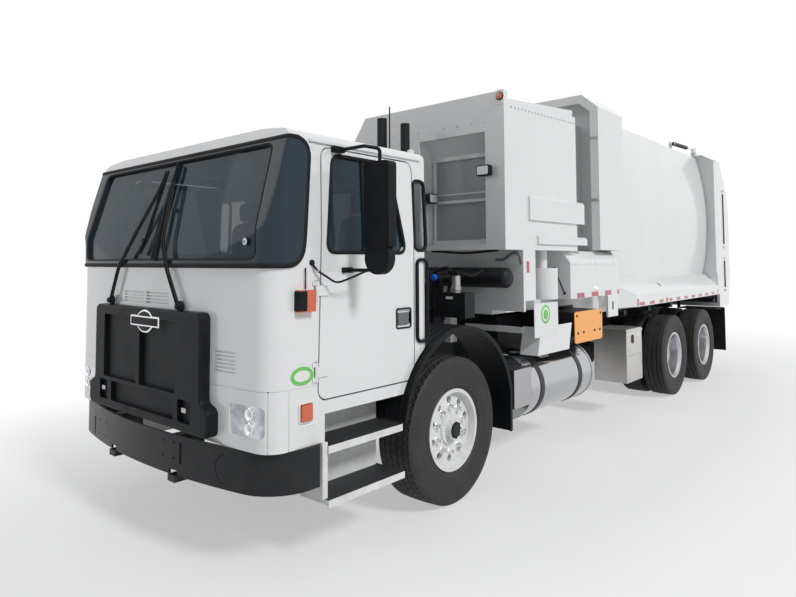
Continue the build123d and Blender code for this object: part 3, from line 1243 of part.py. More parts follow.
def tail_rams(part_of):
    with BuildPart() as left:
        ram((tail_base_y, tail_base_z), (tail_eye_y, tail_eye_z), tail_ram_x, 30, 16,
            16 if part_of == "rod" else tail_pin_r, part_of, 640, 175, 30, 28,
            tail_hinge_x - 10 - pin_clear - tail_ram_x)
    return with_twin(left)


# Loading arm
def arm_base():
    """Housing across the frame, closed on the left by its end plate, with the valve block in front."""
    ys, zs = (arm_front_y - 20, arm_rear_y + 20), (arm_low_z, arm_top_z)
    with BuildPart() as housing:
        block((arm_mouth_x, body_half), ys, zs)
        block((arm_mouth_x - 1, body_half - arm_wall), (ys[0] + arm_wall, ys[1] - arm_wall),
              (zs[0] + arm_wall, zs[1] - arm_wall), mode=Mode.SUBTRACT)
        block((-frame_half, frame_half), ys, (frame_top_z, arm_low_z))
        block((-frame_half - 200, frame_half + 200), (ys[0] - 460, ys[0]), (frame_top_z, arm_top_z - 40))
    return housing


def arm_carriage():
    """Beam that slides in the housing, with the post and the shaft of the arm at its right end."""
    with BuildPart() as beam:
        block((arm_right_x, body_half - 70), (arm_front_y, arm_rear_y),
              (arm_low_z + arm_wall + body_rest, arm_top_z - arm_wall - 5))
        block((-1040, -975), (arm_front_y + 10, arm_front_y + 150), (arm_low_z + 30, lift_z + 60))
        block((lift_x, -975), (arm_front_y + 25, arm_front_y + 135), (lift_z - 60, lift_z + 60))
        rod((lift_x, arm_front_y + 15, lift_z), (0, 1, 0), lift_drum_r, 130)
        rod((lift_x, arm_front_y - 20, lift_z), (0, 1, 0), 30, 200)
    return beam


def lift_arm():
    with BuildPart() as arm:
        y0, y1 = arm_front_y - 15, arm_front_y + 175
        for y in (y0, y1 - 22):
            prism(across(y + 22),
                  [(lift_x - 60, lift_z + 60), (lift_x + 60, lift_z + 60), (lift_x + 60, lift_z - 60),
                                   (lift_x - 20, 1400), (lift_x - 20, 900), (lift_x - 110, 900),
                                   (lift_x - 110, 1500)], 22)
        block((lift_x - 110, lift_x - 85), (y0, y1), (900, 1500))
        block((lift_x - 105, lift_x - 25), (y0 - 260, y1 + 260), (900, 1010))
        rod((lift_x, y0 - 5, lift_z), (0, 1, 0), 30 + pin_clear, 300, mode=Mode.SUBTRACT)
        for y in (gripper_front_y, gripper_rear_y):
            rod((gripper_x, y, 880), (0, 0, 1), 18, 150)
            rod((gripper_x, y, 900), (0, 0, 1), 40, 110)
    return arm


def finger(y, direction):
    """A gripper finger, opened flat along the truck's side."""
    with BuildPart() as grip:
        for z in (860, 1011):
            rod((gripper_x, y, z), (0, 0, 1), 36, 38, inner=18 + pin_clear)
        prism(level(860), [(gripper_x - 20, y + direction * 30), (gripper_x + 20, y + direction * 30),
                           (gripper_x + 30, y + direction * 300), (gripper_x + 0, y + direction * 480),
                           (gripper_x - 35, y + direction * 480), (gripper_x - 15, y + direction * 300)],
                           189)
        block((gripper_x - 60, gripper_x + 60), (y - 50, y + 50), (898.5, 1010.5), mode=Mode.SUBTRACT)
    return grip


def packer():
    with BuildPart() as blade:
        start = tub_front_y + hopper_skin + packer_clear
        block((-packer_half, packer_half), (start, start + packer_l),
              (hopper_floor_z + hopper_wall + 0.3, packer_top_z))
    return blade


cab_skin = cab_form(0)
cab_inner_space = cab_form(cab_wall)
glass_outer = cab_form(glass_in)
cab_lens = cab_form(4)
glass_inner = cab_form(glass_in + glass_t)
left_door = door(cab_skin, cab_inner_space)
left_pane = glass_sheet(left_cut(door_window, glass_fit))

pieces = {
    "frame": frame(), "front_axle": front_axle(), "rear_axles": rear_axles(),
    "springs": springs(), "engine": engine(), "cab_shell": cab_shell(cab_skin, cab_inner_space),
    "cab_glass": cab_glass(), "seats": seats(), "dashboard": dashboard(), "tunnel_cover": tunnel_cover(),
    "front_bumper": front_bumper(), "grille": grille(), "lamps": lamps(), "wipers": wipers(),
    "front_fenders": front_fender(), "cab_steps": cab_steps(), "stacks": stacks(), "air_tank": air_tank(),
    "fuel_tank": fuel_tank(), "tool_box": tool_box(), "arm_base": arm_base(),
    "door_left": left_door, "door_right": mirrored(left_door),
    "door_glass_left": left_pane, "door_glass_right": mirrored(left_pane),
    "mirror_left": mirror_set(), "mirror_right": mirrored(mirror_set()),
    "hopper": hopper(), "collar": collar(), "body_shell": body_shell(), "body_sills": body_floor_frame(),
    "skirts": skirts(), "locker": locker(), "rear_flaps": rear_flaps(), "packer": packer(),
    "tailgate": tailgate(), "tail_lamps": tail_lamps(), "hoist_barrels": hoist("barrel"),
    "hoist_rods": hoist("rod"),
    "tail_ram_barrels": tail_rams("barrel"), "tail_ram_rods": tail_rams("rod"),
    "arm_carriage": arm_carriage(), "lift_arm": lift_arm(),
    "gripper_front": finger(gripper_front_y, -1), "gripper_rear": finger(gripper_rear_y, 1),
    "knuckle_left": knuckle(), "knuckle_right": mirrored(knuckle()),
    "front_rim_left": front_rim(), "front_rim_right": mirrored(front_rim()),
}
front_left = tyre(front_wheel_x, front_axle_y, front_tyre_r, front_tyre_w)
pieces["front_tyre_left"] = front_left
pieces["front_tyre_right"] = mirrored(front_left)
for number, axle_y in enumerate(rear_axle_ys, 1):
    for name, left in ((f"rear_rims_{number}", rear_rims(axle_y)),
                       (f"rear_tyres_{number}", rear_tyres(axle_y))):
        pieces[name + "_left"] = left
        pieces[name + "_right"] = mirrored(left)

for label, piece in pieces.items():
    piece.part.label = label
    export_step(piece.part, f"parts/{label}.step")
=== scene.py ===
"""Looks of a side-loading refuse truck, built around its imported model.

Metres, in the model's own frame: X to the truck's left, Y to its rear, Z up.
"""
from math import cos, pi, radians, sin

import bmesh
import bpy
import numpy as np
from mathutils import Matrix, Vector


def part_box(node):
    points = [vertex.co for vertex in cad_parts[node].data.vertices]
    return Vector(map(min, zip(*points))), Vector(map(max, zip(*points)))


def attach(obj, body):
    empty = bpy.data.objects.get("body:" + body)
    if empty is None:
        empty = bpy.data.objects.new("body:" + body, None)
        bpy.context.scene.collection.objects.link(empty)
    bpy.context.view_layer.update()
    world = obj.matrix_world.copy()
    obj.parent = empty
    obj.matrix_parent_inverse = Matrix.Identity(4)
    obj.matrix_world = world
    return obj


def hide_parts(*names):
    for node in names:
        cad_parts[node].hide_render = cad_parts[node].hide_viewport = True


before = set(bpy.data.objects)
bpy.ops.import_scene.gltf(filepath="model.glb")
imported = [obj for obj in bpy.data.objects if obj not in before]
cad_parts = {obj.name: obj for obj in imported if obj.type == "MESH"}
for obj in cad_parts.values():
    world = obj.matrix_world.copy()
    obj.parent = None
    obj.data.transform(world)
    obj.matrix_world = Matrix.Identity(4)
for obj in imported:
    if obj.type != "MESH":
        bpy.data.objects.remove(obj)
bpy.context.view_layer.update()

bl_info = {
    "name": "Refuse truck looks",
    "version": (1, 0, 0),
    "blender": (4, 5, 0),
    "location": "View3D > Sidebar > Truck",
    "description": "Finishes, trim, tyres and fittings of a side-loading refuse truck",
    "category": "Object",
}

SIDES = (("left", 1), ("right", -1))
FRONT_AXLE_Y = (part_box("front_tyre_left")[0].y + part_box("front_tyre_left")[1].y) / 2
REAR_AXLE_YS = [(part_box(f"rear_tyres_{n}_left")[0].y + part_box(f"rear_tyres_{n}_left")[1].y) / 2 for n in (1, 2)]
BODY_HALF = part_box("collar")[1].x
TWIN_WIDTH = 0.279

# The cab's skin: an upright side that leans in above a height, and a bowed nose under a leaning windscreen
CAB_SIDE = 1.2
SIDE_LEAN_FROM, SIDE_LEAN_RISE, SIDE_LEAN = 1.95, 0.61, 0.028
CAB_FRONT_SKIN = FRONT_AXLE_Y - 1.8
NOSE_BOW = 0.074
SCREEN_FOOT, SCREEN_RISE, SCREEN_LEAN = 1.755, 0.835, 0.235
CORNER_HEIGHTS = [1.75, 1.92, 2.02, 2.2, 2.3, 2.43, 2.6]
CORNER_RADII = [0.13, 0.12, 0.07, 0.03, 0.024, 0.02, 0.02]
WRAP_LINE, WRAP_LINE_DY = 1.4, -1.51

# Drawing planes: two directions whose cross product faces out
FRONT = ((1, 0, 0), (0, 0, 1))
REAR = ((-1, 0, 0), (0, 0, 1))
TOP = ((1, 0, 0), (0, 1, 0))


# Sizes and colours that a user would change
class TruckColours(bpy.types.PropertyGroup):
    body: bpy.props.FloatVectorProperty(name="Body paint", description="White paint of cab and body",
                                        subtype="COLOR", size=3, default=(0.77, 0.78, 0.775), min=0, max=1)
    chassis: bpy.props.FloatVectorProperty(name="Chassis paint", description="Black paint of frame and bumper",
                                           subtype="COLOR", size=3, default=(0.018, 0.019, 0.021), min=0, max=1)
    arm: bpy.props.FloatVectorProperty(name="Arm paint", description="Orange paint of the loading arm's end plate",
                                       subtype="COLOR", size=3, default=(0.95, 0.36, 0.02), min=0, max=1)
    dust: bpy.props.FloatVectorProperty(name="Road dust", description="Dust that settles low on the truck",
                                        subtype="COLOR", size=3, default=(0.33, 0.29, 0.24), min=0, max=1)
    tape_red: bpy.props.FloatVectorProperty(name="Tape red", description="Red blocks of the reflective tape",
                                            subtype="COLOR", size=3, default=(0.36, 0.012, 0.03), min=0, max=1)


class TruckSizes(bpy.types.PropertyGroup):
    tread_depth: bpy.props.FloatProperty(name="Tread depth", description="Depth of the tyres' grooves",
                                         default=0.013, min=0.004, max=0.02, unit="LENGTH")
    tape_height: bpy.props.FloatProperty(name="Tape height", description="Height of the reflective tape",
                                         default=0.05, min=0.02, max=0.08, unit="LENGTH")
    gasket: bpy.props.FloatProperty(name="Gasket width", description="Width of the windows' rubber seals",
                                    default=0.026, min=0.01, max=0.05, unit="LENGTH")
    nut: bpy.props.FloatProperty(name="Wheel nut", description="Width across a wheel nut's corners",
                                 default=0.038, min=0.02, max=0.05, unit="LENGTH")


# Shader maths as expressions
def maths(operation, swapped=False):
    """A method of Value that adds one Math node; swapped puts the other value first."""
    def method(self, other):
        first, second = (other, self) if swapped else (self, other)
        return self.finish.node("ShaderNodeMath", {"operation": operation}, {0: first, 1: second})
    return method


class Value:
    """A shader socket that adds Math nodes where it meets Python's operators."""
    __add__ = __radd__ = maths("ADD")
    __sub__, __rsub__ = maths("SUBTRACT"), maths("SUBTRACT", True)
    __mul__ = __rmul__ = maths("MULTIPLY")
    __truediv__ = maths("DIVIDE")
    __lt__, __gt__ = maths("LESS_THAN"), maths("GREATER_THAN")
    __pow__, __mod__ = maths("POWER"), maths("FLOORED_MODULO")

    def __init__(self, finish, socket):
        self.finish, self.socket = finish, socket

    def clamped(self):
        return self.finish.node("ShaderNodeClamp", {}, {"Value": self})

    def ramp(self, low, high):
        """0 below low, 1 above high, straight between."""
        return ((self - low) / (high - low)).clamped()

    def near(self, middle, reach):
        """1 within reach of middle, 0 elsewhere."""
        return self.finish.node("ShaderNodeMath", {"operation": "COMPARE"}, {0: self, 1: middle, 2: reach})


class Finish:
    """One material, or a world's shader; its methods add nodes and return their first output as a Value."""

    def __init__(self, name, owner=None):
        self.material = owner or bpy.data.materials.new(name)
        self.material.use_nodes = True
        self.tree = self.material.node_tree
        self.shader = self.tree.nodes.get("Principled BSDF")
        self.coords = self.node("ShaderNodeTexCoord", {}, {}, "Object")
        self.x, self.y, self.z = (self.node("ShaderNodeSeparateXYZ", {}, {0: self.coords}, axis) for axis in "XYZ")

    def put(self, socket, value):
        """Links a Value to a socket, or writes a number, a vector or a colour on it."""
        if isinstance(value, Value):
            self.tree.links.new(value.socket, socket)
        else:
            socket.default_value = (*value, 1) if socket.type == "RGBA" else value

    def node(self, kind, settings, inputs, output=0):
        made = self.tree.nodes.new(kind)
        for key, value in settings.items():
            setattr(made, key, value)
        for key, value in inputs.items():
            self.put(made.inputs[key], value)
        return Value(self, made.outputs[output])

    def noise(self, scale, detail=3.0, stretch=(1, 1, 1)):
        place = self.node("ShaderNodeMapping", {}, {"Vector": self.coords, "Scale": stretch})
        return self.node("ShaderNodeTexNoise", {}, {"Vector": place, "Scale": scale, "Detail": detail})

    def patches(self, scale, low, high, detail=6.0):
        """Soft patches: noise cut off below low and full above high."""
        return self.noise(scale, detail).ramp(low, high)

    def prisms(self):
        """Ridges of the small prisms moulded inside a lamp's lens."""
        pitch, rise = 0.012, 60
        return (self.z % pitch) * rise + (self.x + self.y) % pitch * rise

    def mix(self, factor, first, second):
        """Colours first and second mixed by factor."""
        return self.node("ShaderNodeMix", {"data_type": "RGBA"}, {0: factor, 6: first, 7: second}, 2)

    def bump(self, height, strength, distance):
        return self.node("ShaderNodeBump", {}, {"Height": height, "Strength": strength, "Distance": distance})

    def seen(self):
        """1 for the rays that carry the picture: from the camera, off a mirror or through glass."""
        rays = [self.node("ShaderNodeLightPath", {}, {}, f"Is {kind} Ray")
                for kind in ("Camera", "Glossy", "Transmission")]
        return (rays[0] + rays[1] + rays[2]).clamped()

    def surface(self, factor, first, second, output):
        """Two shaders mixed by factor as the surface of the output node."""
        blend = self.node("ShaderNodeMixShader", {}, {0: factor, 1: first, 2: second})
        self.put(self.tree.nodes[output].inputs["Surface"], blend)

    def set(self, **sockets):
        for key, value in sockets.items():
            self.put(self.shader.inputs[key.replace("_", " ")], value)
        return self.material


def paint(name, colour, dust, rough=0.28, coat=0.6, peel=0.12, dust_top=1.1, dust_amount=0.35, shine=0.5):
    """Sprayed paint with a faint orange peel and road dust that thins out with height."""
    finish = Finish(name)
    cloud = finish.noise(1.7, 4.0)
    grime = (1 - finish.z.ramp(0.25, dust_top)) * finish.patches(9.0, 0.35, 0.75) * dust_amount
    tone = finish.mix(cloud.ramp(0.3, 0.7), tuple(c * 0.955 for c in colour), colour)
    base = finish.mix(grime, tone, dust)
    return finish.set(Base_Color=base, Roughness=grime * 0.5 + cloud * 0.05 + rough, Coat_Weight=coat,
                      Coat_Roughness=0.06, Specular_IOR_Level=shine,
                      Normal=finish.bump(finish.noise(260.0, 1.0), peel, 0.0004))


def moulded(name, colour, rough):
    """Moulded plastic or rubber with a fine grain and dusty patches."""
    finish = Finish(name)
    grains = finish.noise(420.0, 2.0)
    worn = finish.patches(6.0, 0.45, 0.8, 5.0)
    base = finish.mix(worn * 0.35, colour, tuple(0.8 * c + 0.02 for c in colour))
    return finish.set(Base_Color=base, Roughness=worn * 0.15 + rough, Specular_IOR_Level=0.12,
                      Normal=finish.bump(grains, 0.5, 0.0006))


def metal(name, colour, rough=0.25, brush=(1, 1, 30), streak=0.12, metallic=1.0, dirt=0.15):
    """Bare metal with a brushed direction and a little dirt."""
    finish = Finish(name)
    lines = finish.noise(40.0, 3.0, brush)
    stain = finish.patches(4.0, 0.5, 0.85) * dirt
    base = finish.mix(stain, colour, tuple(0.4 * c for c in colour))
    return finish.set(Base_Color=base, Metallic=metallic, Roughness=lines * streak + stain + rough,
                      Normal=finish.bump(lines, 0.12, 0.0003))


def rubber_tyre(name, dust):
    """Black tyre rubber, greyer where the road has dusted it."""
    finish = Finish(name)
    dusted = finish.patches(11.0, 0.35, 0.75)
    base = finish.mix(dusted * 0.5, (0.012, 0.012, 0.013), tuple(c * 0.16 for c in dust))
    return finish.set(Base_Color=base, Roughness=dusted * 0.15 + 0.62,
                      Normal=finish.bump(finish.noise(300.0, 2.0), 0.35, 0.0006))


def glazing(name, tint, alpha):
    """Tinted window glass: it reflects sharply and shows the cab through it. Alpha is a number or a function of
    the finish."""
    finish = Finish(name)
    smear = finish.noise(3.0, 4.0)
    base = finish.mix(smear * 0.3, tint, tuple(c + 0.01 for c in tint))
    return finish.set(Base_Color=base, IOR=1.5, Roughness=smear * 0.03 + 0.02, Specular_IOR_Level=0.4,
                      Alpha=alpha(finish) if callable(alpha) else alpha)


def screen_alpha(finish):
    """The cab's glass: dense in the windscreen, thin in the rear window."""
    return (finish.y < -4.0) * 0.42 + 0.22


def lens(name, colour, rough=0.12):
    """Lamp lens with the small prisms moulded inside it."""
    finish = Finish(name)
    base = finish.mix(finish.noise(30.0, 2.0), colour, tuple(min(1, c * 1.25) for c in colour))
    return finish.set(Base_Color=base, Roughness=rough, Coat_Weight=1.0, Coat_Roughness=0.03,
                      Normal=finish.bump(finish.prisms(), 0.3, 0.001))


def cloth(name, colour):
    """Woven seat cloth."""
    finish = Finish(name)
    x, y, z = ((axis % 0.004) * 250 for axis in (finish.x, finish.y, finish.z))
    weave = (x - 0.5) * (z - 0.5) + y
    base = finish.mix(finish.noise(60.0, 3.0), colour, tuple(1.5 * c for c in colour))
    return finish.set(Base_Color=base, Roughness=0.85, Sheen_Weight=0.3, Normal=finish.bump(weave, 0.3, 0.001))


def tape(name, red):
    """Reflective tape: red and white blocks along the truck, with a fine mesh of cells."""
    finish = Finish(name)
    block, pitch = 0.17, 0.009
    red_block = (finish.y % (2 * block)) < block
    cells = ((finish.y + finish.z) % pitch) * 60 + ((finish.y - finish.z) % pitch) * 60
    base = finish.mix(red_block, (0.72, 0.72, 0.73), red)
    return finish.set(Base_Color=base, Roughness=0.3, Coat_Weight=0.8, Coat_Roughness=0.1,
                      Normal=finish.bump(cells, 0.15, 0.0006))


def lamp_units(name):
    """The lamps' solids: amber lenses on the cab's sides, clear ones with a bright dish in the nose."""
    finish = Finish(name)
    aside = finish.node("ShaderNodeMath", {"operation": "ABSOLUTE"}, {0: finish.x}) > CAB_SIDE + 0.002
    bright = finish.patches(9.0, 0.35, 0.65, 2.0)
    base = finish.mix(aside, finish.mix(bright, (0.30, 0.33, 0.37), (0.75, 0.78, 0.82)), (0.60, 0.085, 0.004))
    return finish.set(Base_Color=base, Roughness=0.12, Metallic=(1 - aside) * 0.75, Coat_Weight=1.0,
                      Coat_Roughness=0.03, Normal=finish.bump(finish.prisms(), 0.3, 0.001))


def tank_set(name, body):
    """Polished tank with black straps, a checker plate battery box before it and the white guard plate above."""
    finish = Finish(name)
    guard_foot, box_back, straps, strap_half, pitch = 0.9425, -1.953, (-1.735, -0.955), 0.037, 0.03
    guard = finish.z > guard_foot
    box = (finish.y < box_back) * (1 - guard)
    strap = (finish.y.near(straps[0], strap_half) + finish.y.near(straps[1], strap_half)).clamped() * (1 - guard)
    lines = finish.noise(40.0, 3.0, (1, 60, 1))
    across, along = (finish.x + finish.y + finish.z) % pitch * 33, (finish.x + finish.y - finish.z) % pitch * 33
    rise, fall = (across * (1 - across) * 4) ** 6.0, (along * (1 - along) * 4) ** 6.0
    bars = (rise * (along > 0.5) + fall * (along < 0.5)) * box
    metal_tone = finish.mix(box, (0.50, 0.51, 0.53), (0.45, 0.45, 0.46))
    base = finish.mix(guard, finish.mix(strap, metal_tone, (0.02, 0.02, 0.022)), body)
    return finish.set(Base_Color=base, Metallic=(1 - guard) * (1 - strap), Coat_Weight=guard * 0.5,
                      Roughness=lines * 0.08 + guard * 0.2 + strap * 0.35 + box * 0.15 + 0.1,
                      Normal=finish.bump(bars + lines * 0.05, 0.5, 0.003))


def arm_set(name, orange, black, dust):
    """Orange end of the reach arm; its beam under the body is black."""
    finish = Finish(name)
    grime = finish.patches(7.0, 0.4, 0.8) * 0.2
    plate_x = 1.13
    base = finish.mix(finish.x > plate_x, black, finish.mix(grime, orange, dust))
    return finish.set(Base_Color=base, Roughness=grime + 0.3, Coat_Weight=0.3,
                      Normal=finish.bump(finish.noise(60.0, 2.0), 0.1, 0.002))


def step_set(name, body, black, dust):
    """White step frame with black, grippy treads."""
    finish = Finish(name)
    facing = finish.node("ShaderNodeNewGeometry", {}, {}, "Normal")
    up = finish.node("ShaderNodeSeparateXYZ", {}, {0: facing}, "Z") > 0.7
    upper, lower, reach, pitch = 0.716, 0.406, 0.016, 0.02
    tread = ((finish.z.near(upper, reach) + finish.z.near(lower, reach)).clamped() * up).clamped()
    lugs = ((finish.x % pitch) * (1 / pitch) - 0.5) * ((finish.y % pitch) * (1 / pitch) - 0.5)
    grime = finish.patches(9.0, 0.35, 0.75) * 0.35
    base = finish.mix(tread, finish.mix(grime, body, dust), black)
    return finish.set(Base_Color=base, Roughness=tread * 0.3 + 0.35, Normal=finish.bump(lugs * tread, 0.8, 0.004))


finishes = {}


def make_finishes(colours):
    """Every finish of the truck, by a maker's plain name."""
    body, black, orange, dust, red = (tuple(value) for value in (colours.body, colours.chassis, colours.arm,
                                                                 colours.dust, colours.tape_red))
    finishes.update({
        "body white": paint("body_white", body, dust),
        "cab white": paint("cab_white", body, dust, rough=0.2, coat=0.9, peel=0.06, dust_amount=0.25),
        "wheel white": paint("wheel_white", tuple(c * 0.97 for c in body), dust, rough=0.3, dust_top=1.4),
        "sill black": paint("sill_black", black, dust, rough=0.4, coat=0.03, dust_amount=0.15, shine=0.12),
        "bumper black": paint("bumper_black", black, dust, rough=0.3, coat=0.08, dust_amount=0.04, shine=0.15),
        # Blue-grey painted shade: stands for the shadow inside the hopper's front bay
        "painted shade grey": paint("painted_shade_grey", (0.34, 0.355, 0.375), dust, rough=0.4, coat=0.3),
        "arm orange": paint("arm_orange", orange, dust, rough=0.3, dust_amount=0.1),
        "cast iron": metal("cast_iron", (0.05, 0.05, 0.05), 0.6, metallic=0.4, dirt=0.4),
        "steel": metal("plain_steel", (0.42, 0.42, 0.43), 0.35),
        "chrome": metal("bright_chrome", (0.82, 0.83, 0.84), 0.06, streak=0.03, dirt=0.05),
        "box bright": metal("box_bright", (0.6, 0.59, 0.57), 0.24, (1, 1, 40), 0.12, dirt=0.25),
        "wheel silver": metal("wheel_silver", (0.6, 0.61, 0.63), 0.3, (1, 1, 1), 0.1, dirt=0.3),
        "tyre": rubber_tyre("tyre_rubber", dust),
        "rubber": moulded("flap_rubber", (0.014, 0.014, 0.015), 0.6),
        "plastic": moulded("black_moulding", (0.009, 0.010, 0.012), 0.42),
        "grey plastic": moulded("grey_moulding", (0.16, 0.165, 0.17), 0.45),
        "dark trim": moulded("cab_trim", (0.06, 0.062, 0.066), 0.6),
        "windscreen": glazing("windscreen_glass", (0.003, 0.032, 0.055), screen_alpha),
        "screen edge": glazing("windscreen_edge", (0.003, 0.018, 0.032), 1.0),
        "window": glazing("window_glass", (0.003, 0.026, 0.042), 0.7),
        "mirror glass": metal("mirror_face", (0.7, 0.72, 0.74), 0.02, streak=0.01, dirt=0.02),
        "amber": lens("amber_lens", (0.60, 0.10, 0.004)),
        "red lens": lens("red_lens", (0.5, 0.01, 0.01)),
        "clear": lens("clear_lens", (0.7, 0.72, 0.74), 0.06),
        "seat cloth": cloth("seat_cloth", (0.03, 0.032, 0.036)),
        "tape": tape("side_tape", red),
        "label": paint("label_white", (0.8, 0.8, 0.78), dust, rough=0.45, coat=0.1),
        "green print": paint("green_print", (0.16, 0.55, 0.12), dust, rough=0.45, coat=0.1),
        "blue cap": moulded("blue_moulding", (0.01, 0.14, 0.62), 0.4),
        "red reflector": lens("red_reflector", red),
        "lamp units": lamp_units("lamp_units"),
        "tank set": tank_set("tank_set", body),
        "arm set": arm_set("arm_set", orange, black, dust),
        "step set": step_set("step_set", body, black, dust),
    })


NODE_FINISH = {
    "cab white": ["cab_shell", "door_left", "door_right"],
    "body white": ["hopper", "collar", "body_shell", "skirts", "locker", "tailgate"],
    "wheel white": ["front_rim_left", "front_rim_right"],
    "wheel silver": ["rear_rims_1_left", "rear_rims_1_right", "rear_rims_2_left", "rear_rims_2_right"],
    "sill black": ["frame", "springs", "body_sills", "hoist_barrels", "tail_ram_barrels", "stacks",
                   "lift_arm", "gripper_front", "gripper_rear", "air_tank", "arm_base"],
    "bumper black": ["front_bumper"],
    "cast iron": ["front_axle", "rear_axles", "engine", "knuckle_left", "knuckle_right"],
    "arm set": ["arm_carriage"],
    "chrome": ["hoist_rods", "tail_ram_rods"],
    "tank set": ["fuel_tank"],
    "step set": ["cab_steps"],
    "box bright": ["tool_box"],
    "steel": ["packer"],
    "plastic": ["grille", "front_fenders", "mirror_left", "mirror_right"],
    "dark trim": ["dashboard", "tunnel_cover"],
    "rubber": ["rear_flaps"],
    "windscreen": ["cab_glass"],
    "window": ["door_glass_left", "door_glass_right"],
    "lamp units": ["lamps"],
    "red lens": ["tail_lamps"],
    "seat cloth": ["seats"],
    "tyre": [f"{tyre}_{side}" for tyre in ("front_tyre", "rear_tyres_1", "rear_tyres_2") for side, _ in SIDES],
}


def dress_nodes():
    """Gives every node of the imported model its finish."""
    for finish, names in NODE_FINISH.items():
        for name in names:
            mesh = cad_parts[name].data
            mesh.materials.clear()
            mesh.materials.append(finishes[finish])


# Surfaces worked out as whole arrays
def grid_faces(rows, columns, close_rows=False):
    """Quads between neighbouring points of a grid whose rows are closed rings; close_rows joins last and first."""
    i, j = np.meshgrid(np.arange(rows if close_rows else rows - 1), np.arange(columns), indexing="ij")
    i2, j2 = (i + 1) % rows, (j + 1) % columns
    quads = np.stack([i * columns + j, i * columns + j2, i2 * columns + j2, i2 * columns + j], -1)
    return [tuple(int(k) for k in q) for q in quads.reshape(-1, 4)]


def stack(outline, stations, origin, u, v):
    """A closed solid: outline(inset) is drawn in the plane of u and v at each station of (inset, depth),
    with the depth along u x v, and the first and last rings are capped."""
    u, v = np.array(u, float), np.array(v, float)
    w = np.cross(u, v)
    rings = []
    for inset, depth in stations:
        flat = outline(inset)
        rings.append(np.array(origin) + flat[:, :1] * u + flat[:, 1:] * v + depth * w)
    count = len(rings[0])
    faces = grid_faces(len(rings), count)
    last = (len(rings) - 1) * count
    return np.concatenate(rings), faces + [tuple(range(count))[::-1], tuple(range(last, last + count))]


def round_rect(width, height, radius):
    """Outline of a rectangle with rounded corners: four quarter circles joined by straight edges."""
    steps = 4

    def outline(inset):
        r = max(radius - inset, 0.0004)
        half = np.array([width / 2 - inset - r, height / 2 - inset - r])
        points = []
        for quarter in range(4):
            turn = (np.arange(steps + 1) / steps + quarter) * pi / 2
            sign = np.array([(1, 1), (-1, 1), (-1, -1), (1, -1)][quarter])
            points.append(sign * half + r * np.stack([np.cos(turn), np.sin(turn)], -1))
        return np.concatenate(points)
    return outline


def oval(width, height, count=40):
    """Outline of an ellipse."""
    def outline(inset):
        turn = np.arange(count) * 2 * pi / count
        return np.stack([(width / 2 - inset) * np.cos(turn), (height / 2 - inset) * np.sin(turn)], -1)
    return outline


def circle(radius, count):
    """Outline of a circle, or of a polygon of count sides."""
    return oval(2 * radius, 2 * radius, count)


def sweep(path, section, up=(0, 0, 1), closed=False):
    """A section of (across, up) points carried along a path: each ring stands square to the path."""
    path = np.array(path, float)
    if closed:
        tangent = np.roll(path, -1, 0) - np.roll(path, 1, 0)
    else:
        tangent = np.gradient(path, axis=0)
    tangent /= np.linalg.norm(tangent, axis=1)[:, None]
    up = np.broadcast_to(np.array(up, float), path.shape)
    across = np.cross(tangent, up)
    across /= np.linalg.norm(across, axis=1)[:, None]
    lift = np.cross(across, tangent)
    section = np.array(section, float)
    rings = path[:, None] + section[None, :, :1] * across[:, None] + section[None, :, 1:] * lift[:, None]
    count = len(section)
    faces = grid_faces(len(path), count, close_rows=closed)
    if not closed:
        last = (len(path) - 1) * count
        faces += [tuple(range(count))[::-1], tuple(range(last, last + count))]
    return rings.reshape(-1, 3), faces


def bend(points, radius):
    """A path of straight runs whose corners are rounded by quadratic curves of about radius."""
    points = [np.array(p, float) for p in points]
    path = [points[0]]
    for before, corner, after in zip(points, points[1:], points[2:]):
        a, b = before - corner, after - corner
        cut = min(radius, np.linalg.norm(a) * 0.45, np.linalg.norm(b) * 0.45)
        start, end = corner + a / np.linalg.norm(a) * cut, corner + b / np.linalg.norm(b) * cut
        for t in np.linspace(0, 1, 6):
            path.append((1 - t) ** 2 * start + 2 * t * (1 - t) * corner + t * t * end)
    return np.array(path + [points[-1]])


def tube(points, radius, corner, count=10):
    """A round tube along a path with its corners bent."""
    return sweep(bend(points, corner), circle(radius, count)(0), (0.03, 0.05, 1))


def piece(name, shapes, finish, body="chassis", angle=35):
    """One object from several shapes, smooth up to an angle, riding on a body; its slot is its finish's own."""
    mesh = bpy.data.meshes.new(name)
    verts, faces, base = [], [], 0
    for points, quads in shapes:
        verts.append(points)
        faces += [tuple(k + base for k in face) for face in quads]
        base += len(points)
    mesh.from_pydata(np.concatenate(verts).tolist(), [], faces)
    mesh.validate()
    made = bpy.data.objects.new(name, mesh)
    bpy.context.scene.collection.objects.link(made)
    outward(mesh)
    mesh.shade_smooth()
    mesh.set_sharp_from_angle(angle=radians(angle))
    mesh.materials.append(finishes[finish])
    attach(made, body)
    return made


def outward(mesh):
    """Turns every face outwards."""
    work = bmesh.new()
    work.from_mesh(mesh)
    bmesh.ops.recalc_face_normals(work, faces=work.faces)
    work.to_mesh(mesh)
    work.free()


def knob(origin, u, v, radius, height, count=16, edge=0.3):
    """A round boss or bolt head with a turned edge."""
    soft = radius * edge
    return stack(circle(radius, count), [(0, 0), (0, height - soft * 0.6), (soft, height)], origin, u, v)


def bolt(origin, u, v, radius=0.009, height=0.006):
    """A hexagon head on its washer."""
    return [stack(circle(radius * 1.35, 14), [(0, 0), (0, height * 0.25)], origin, u, v),
            stack(circle(radius, 6), [(0, height * 0.2), (0, height * 0.9), (radius * 0.15, height)], origin, u, v)]


def bolts(places, plane, radius=0.009, height=0.006):
    """A bolt at each place."""
    return [shape for place in places for shape in bolt(place, *plane, radius, height)]


def side_plane(sign):
    """Directions of a drawing plane that faces out to one side of the truck."""
    return (0, sign, 0), (0, 0, 1)


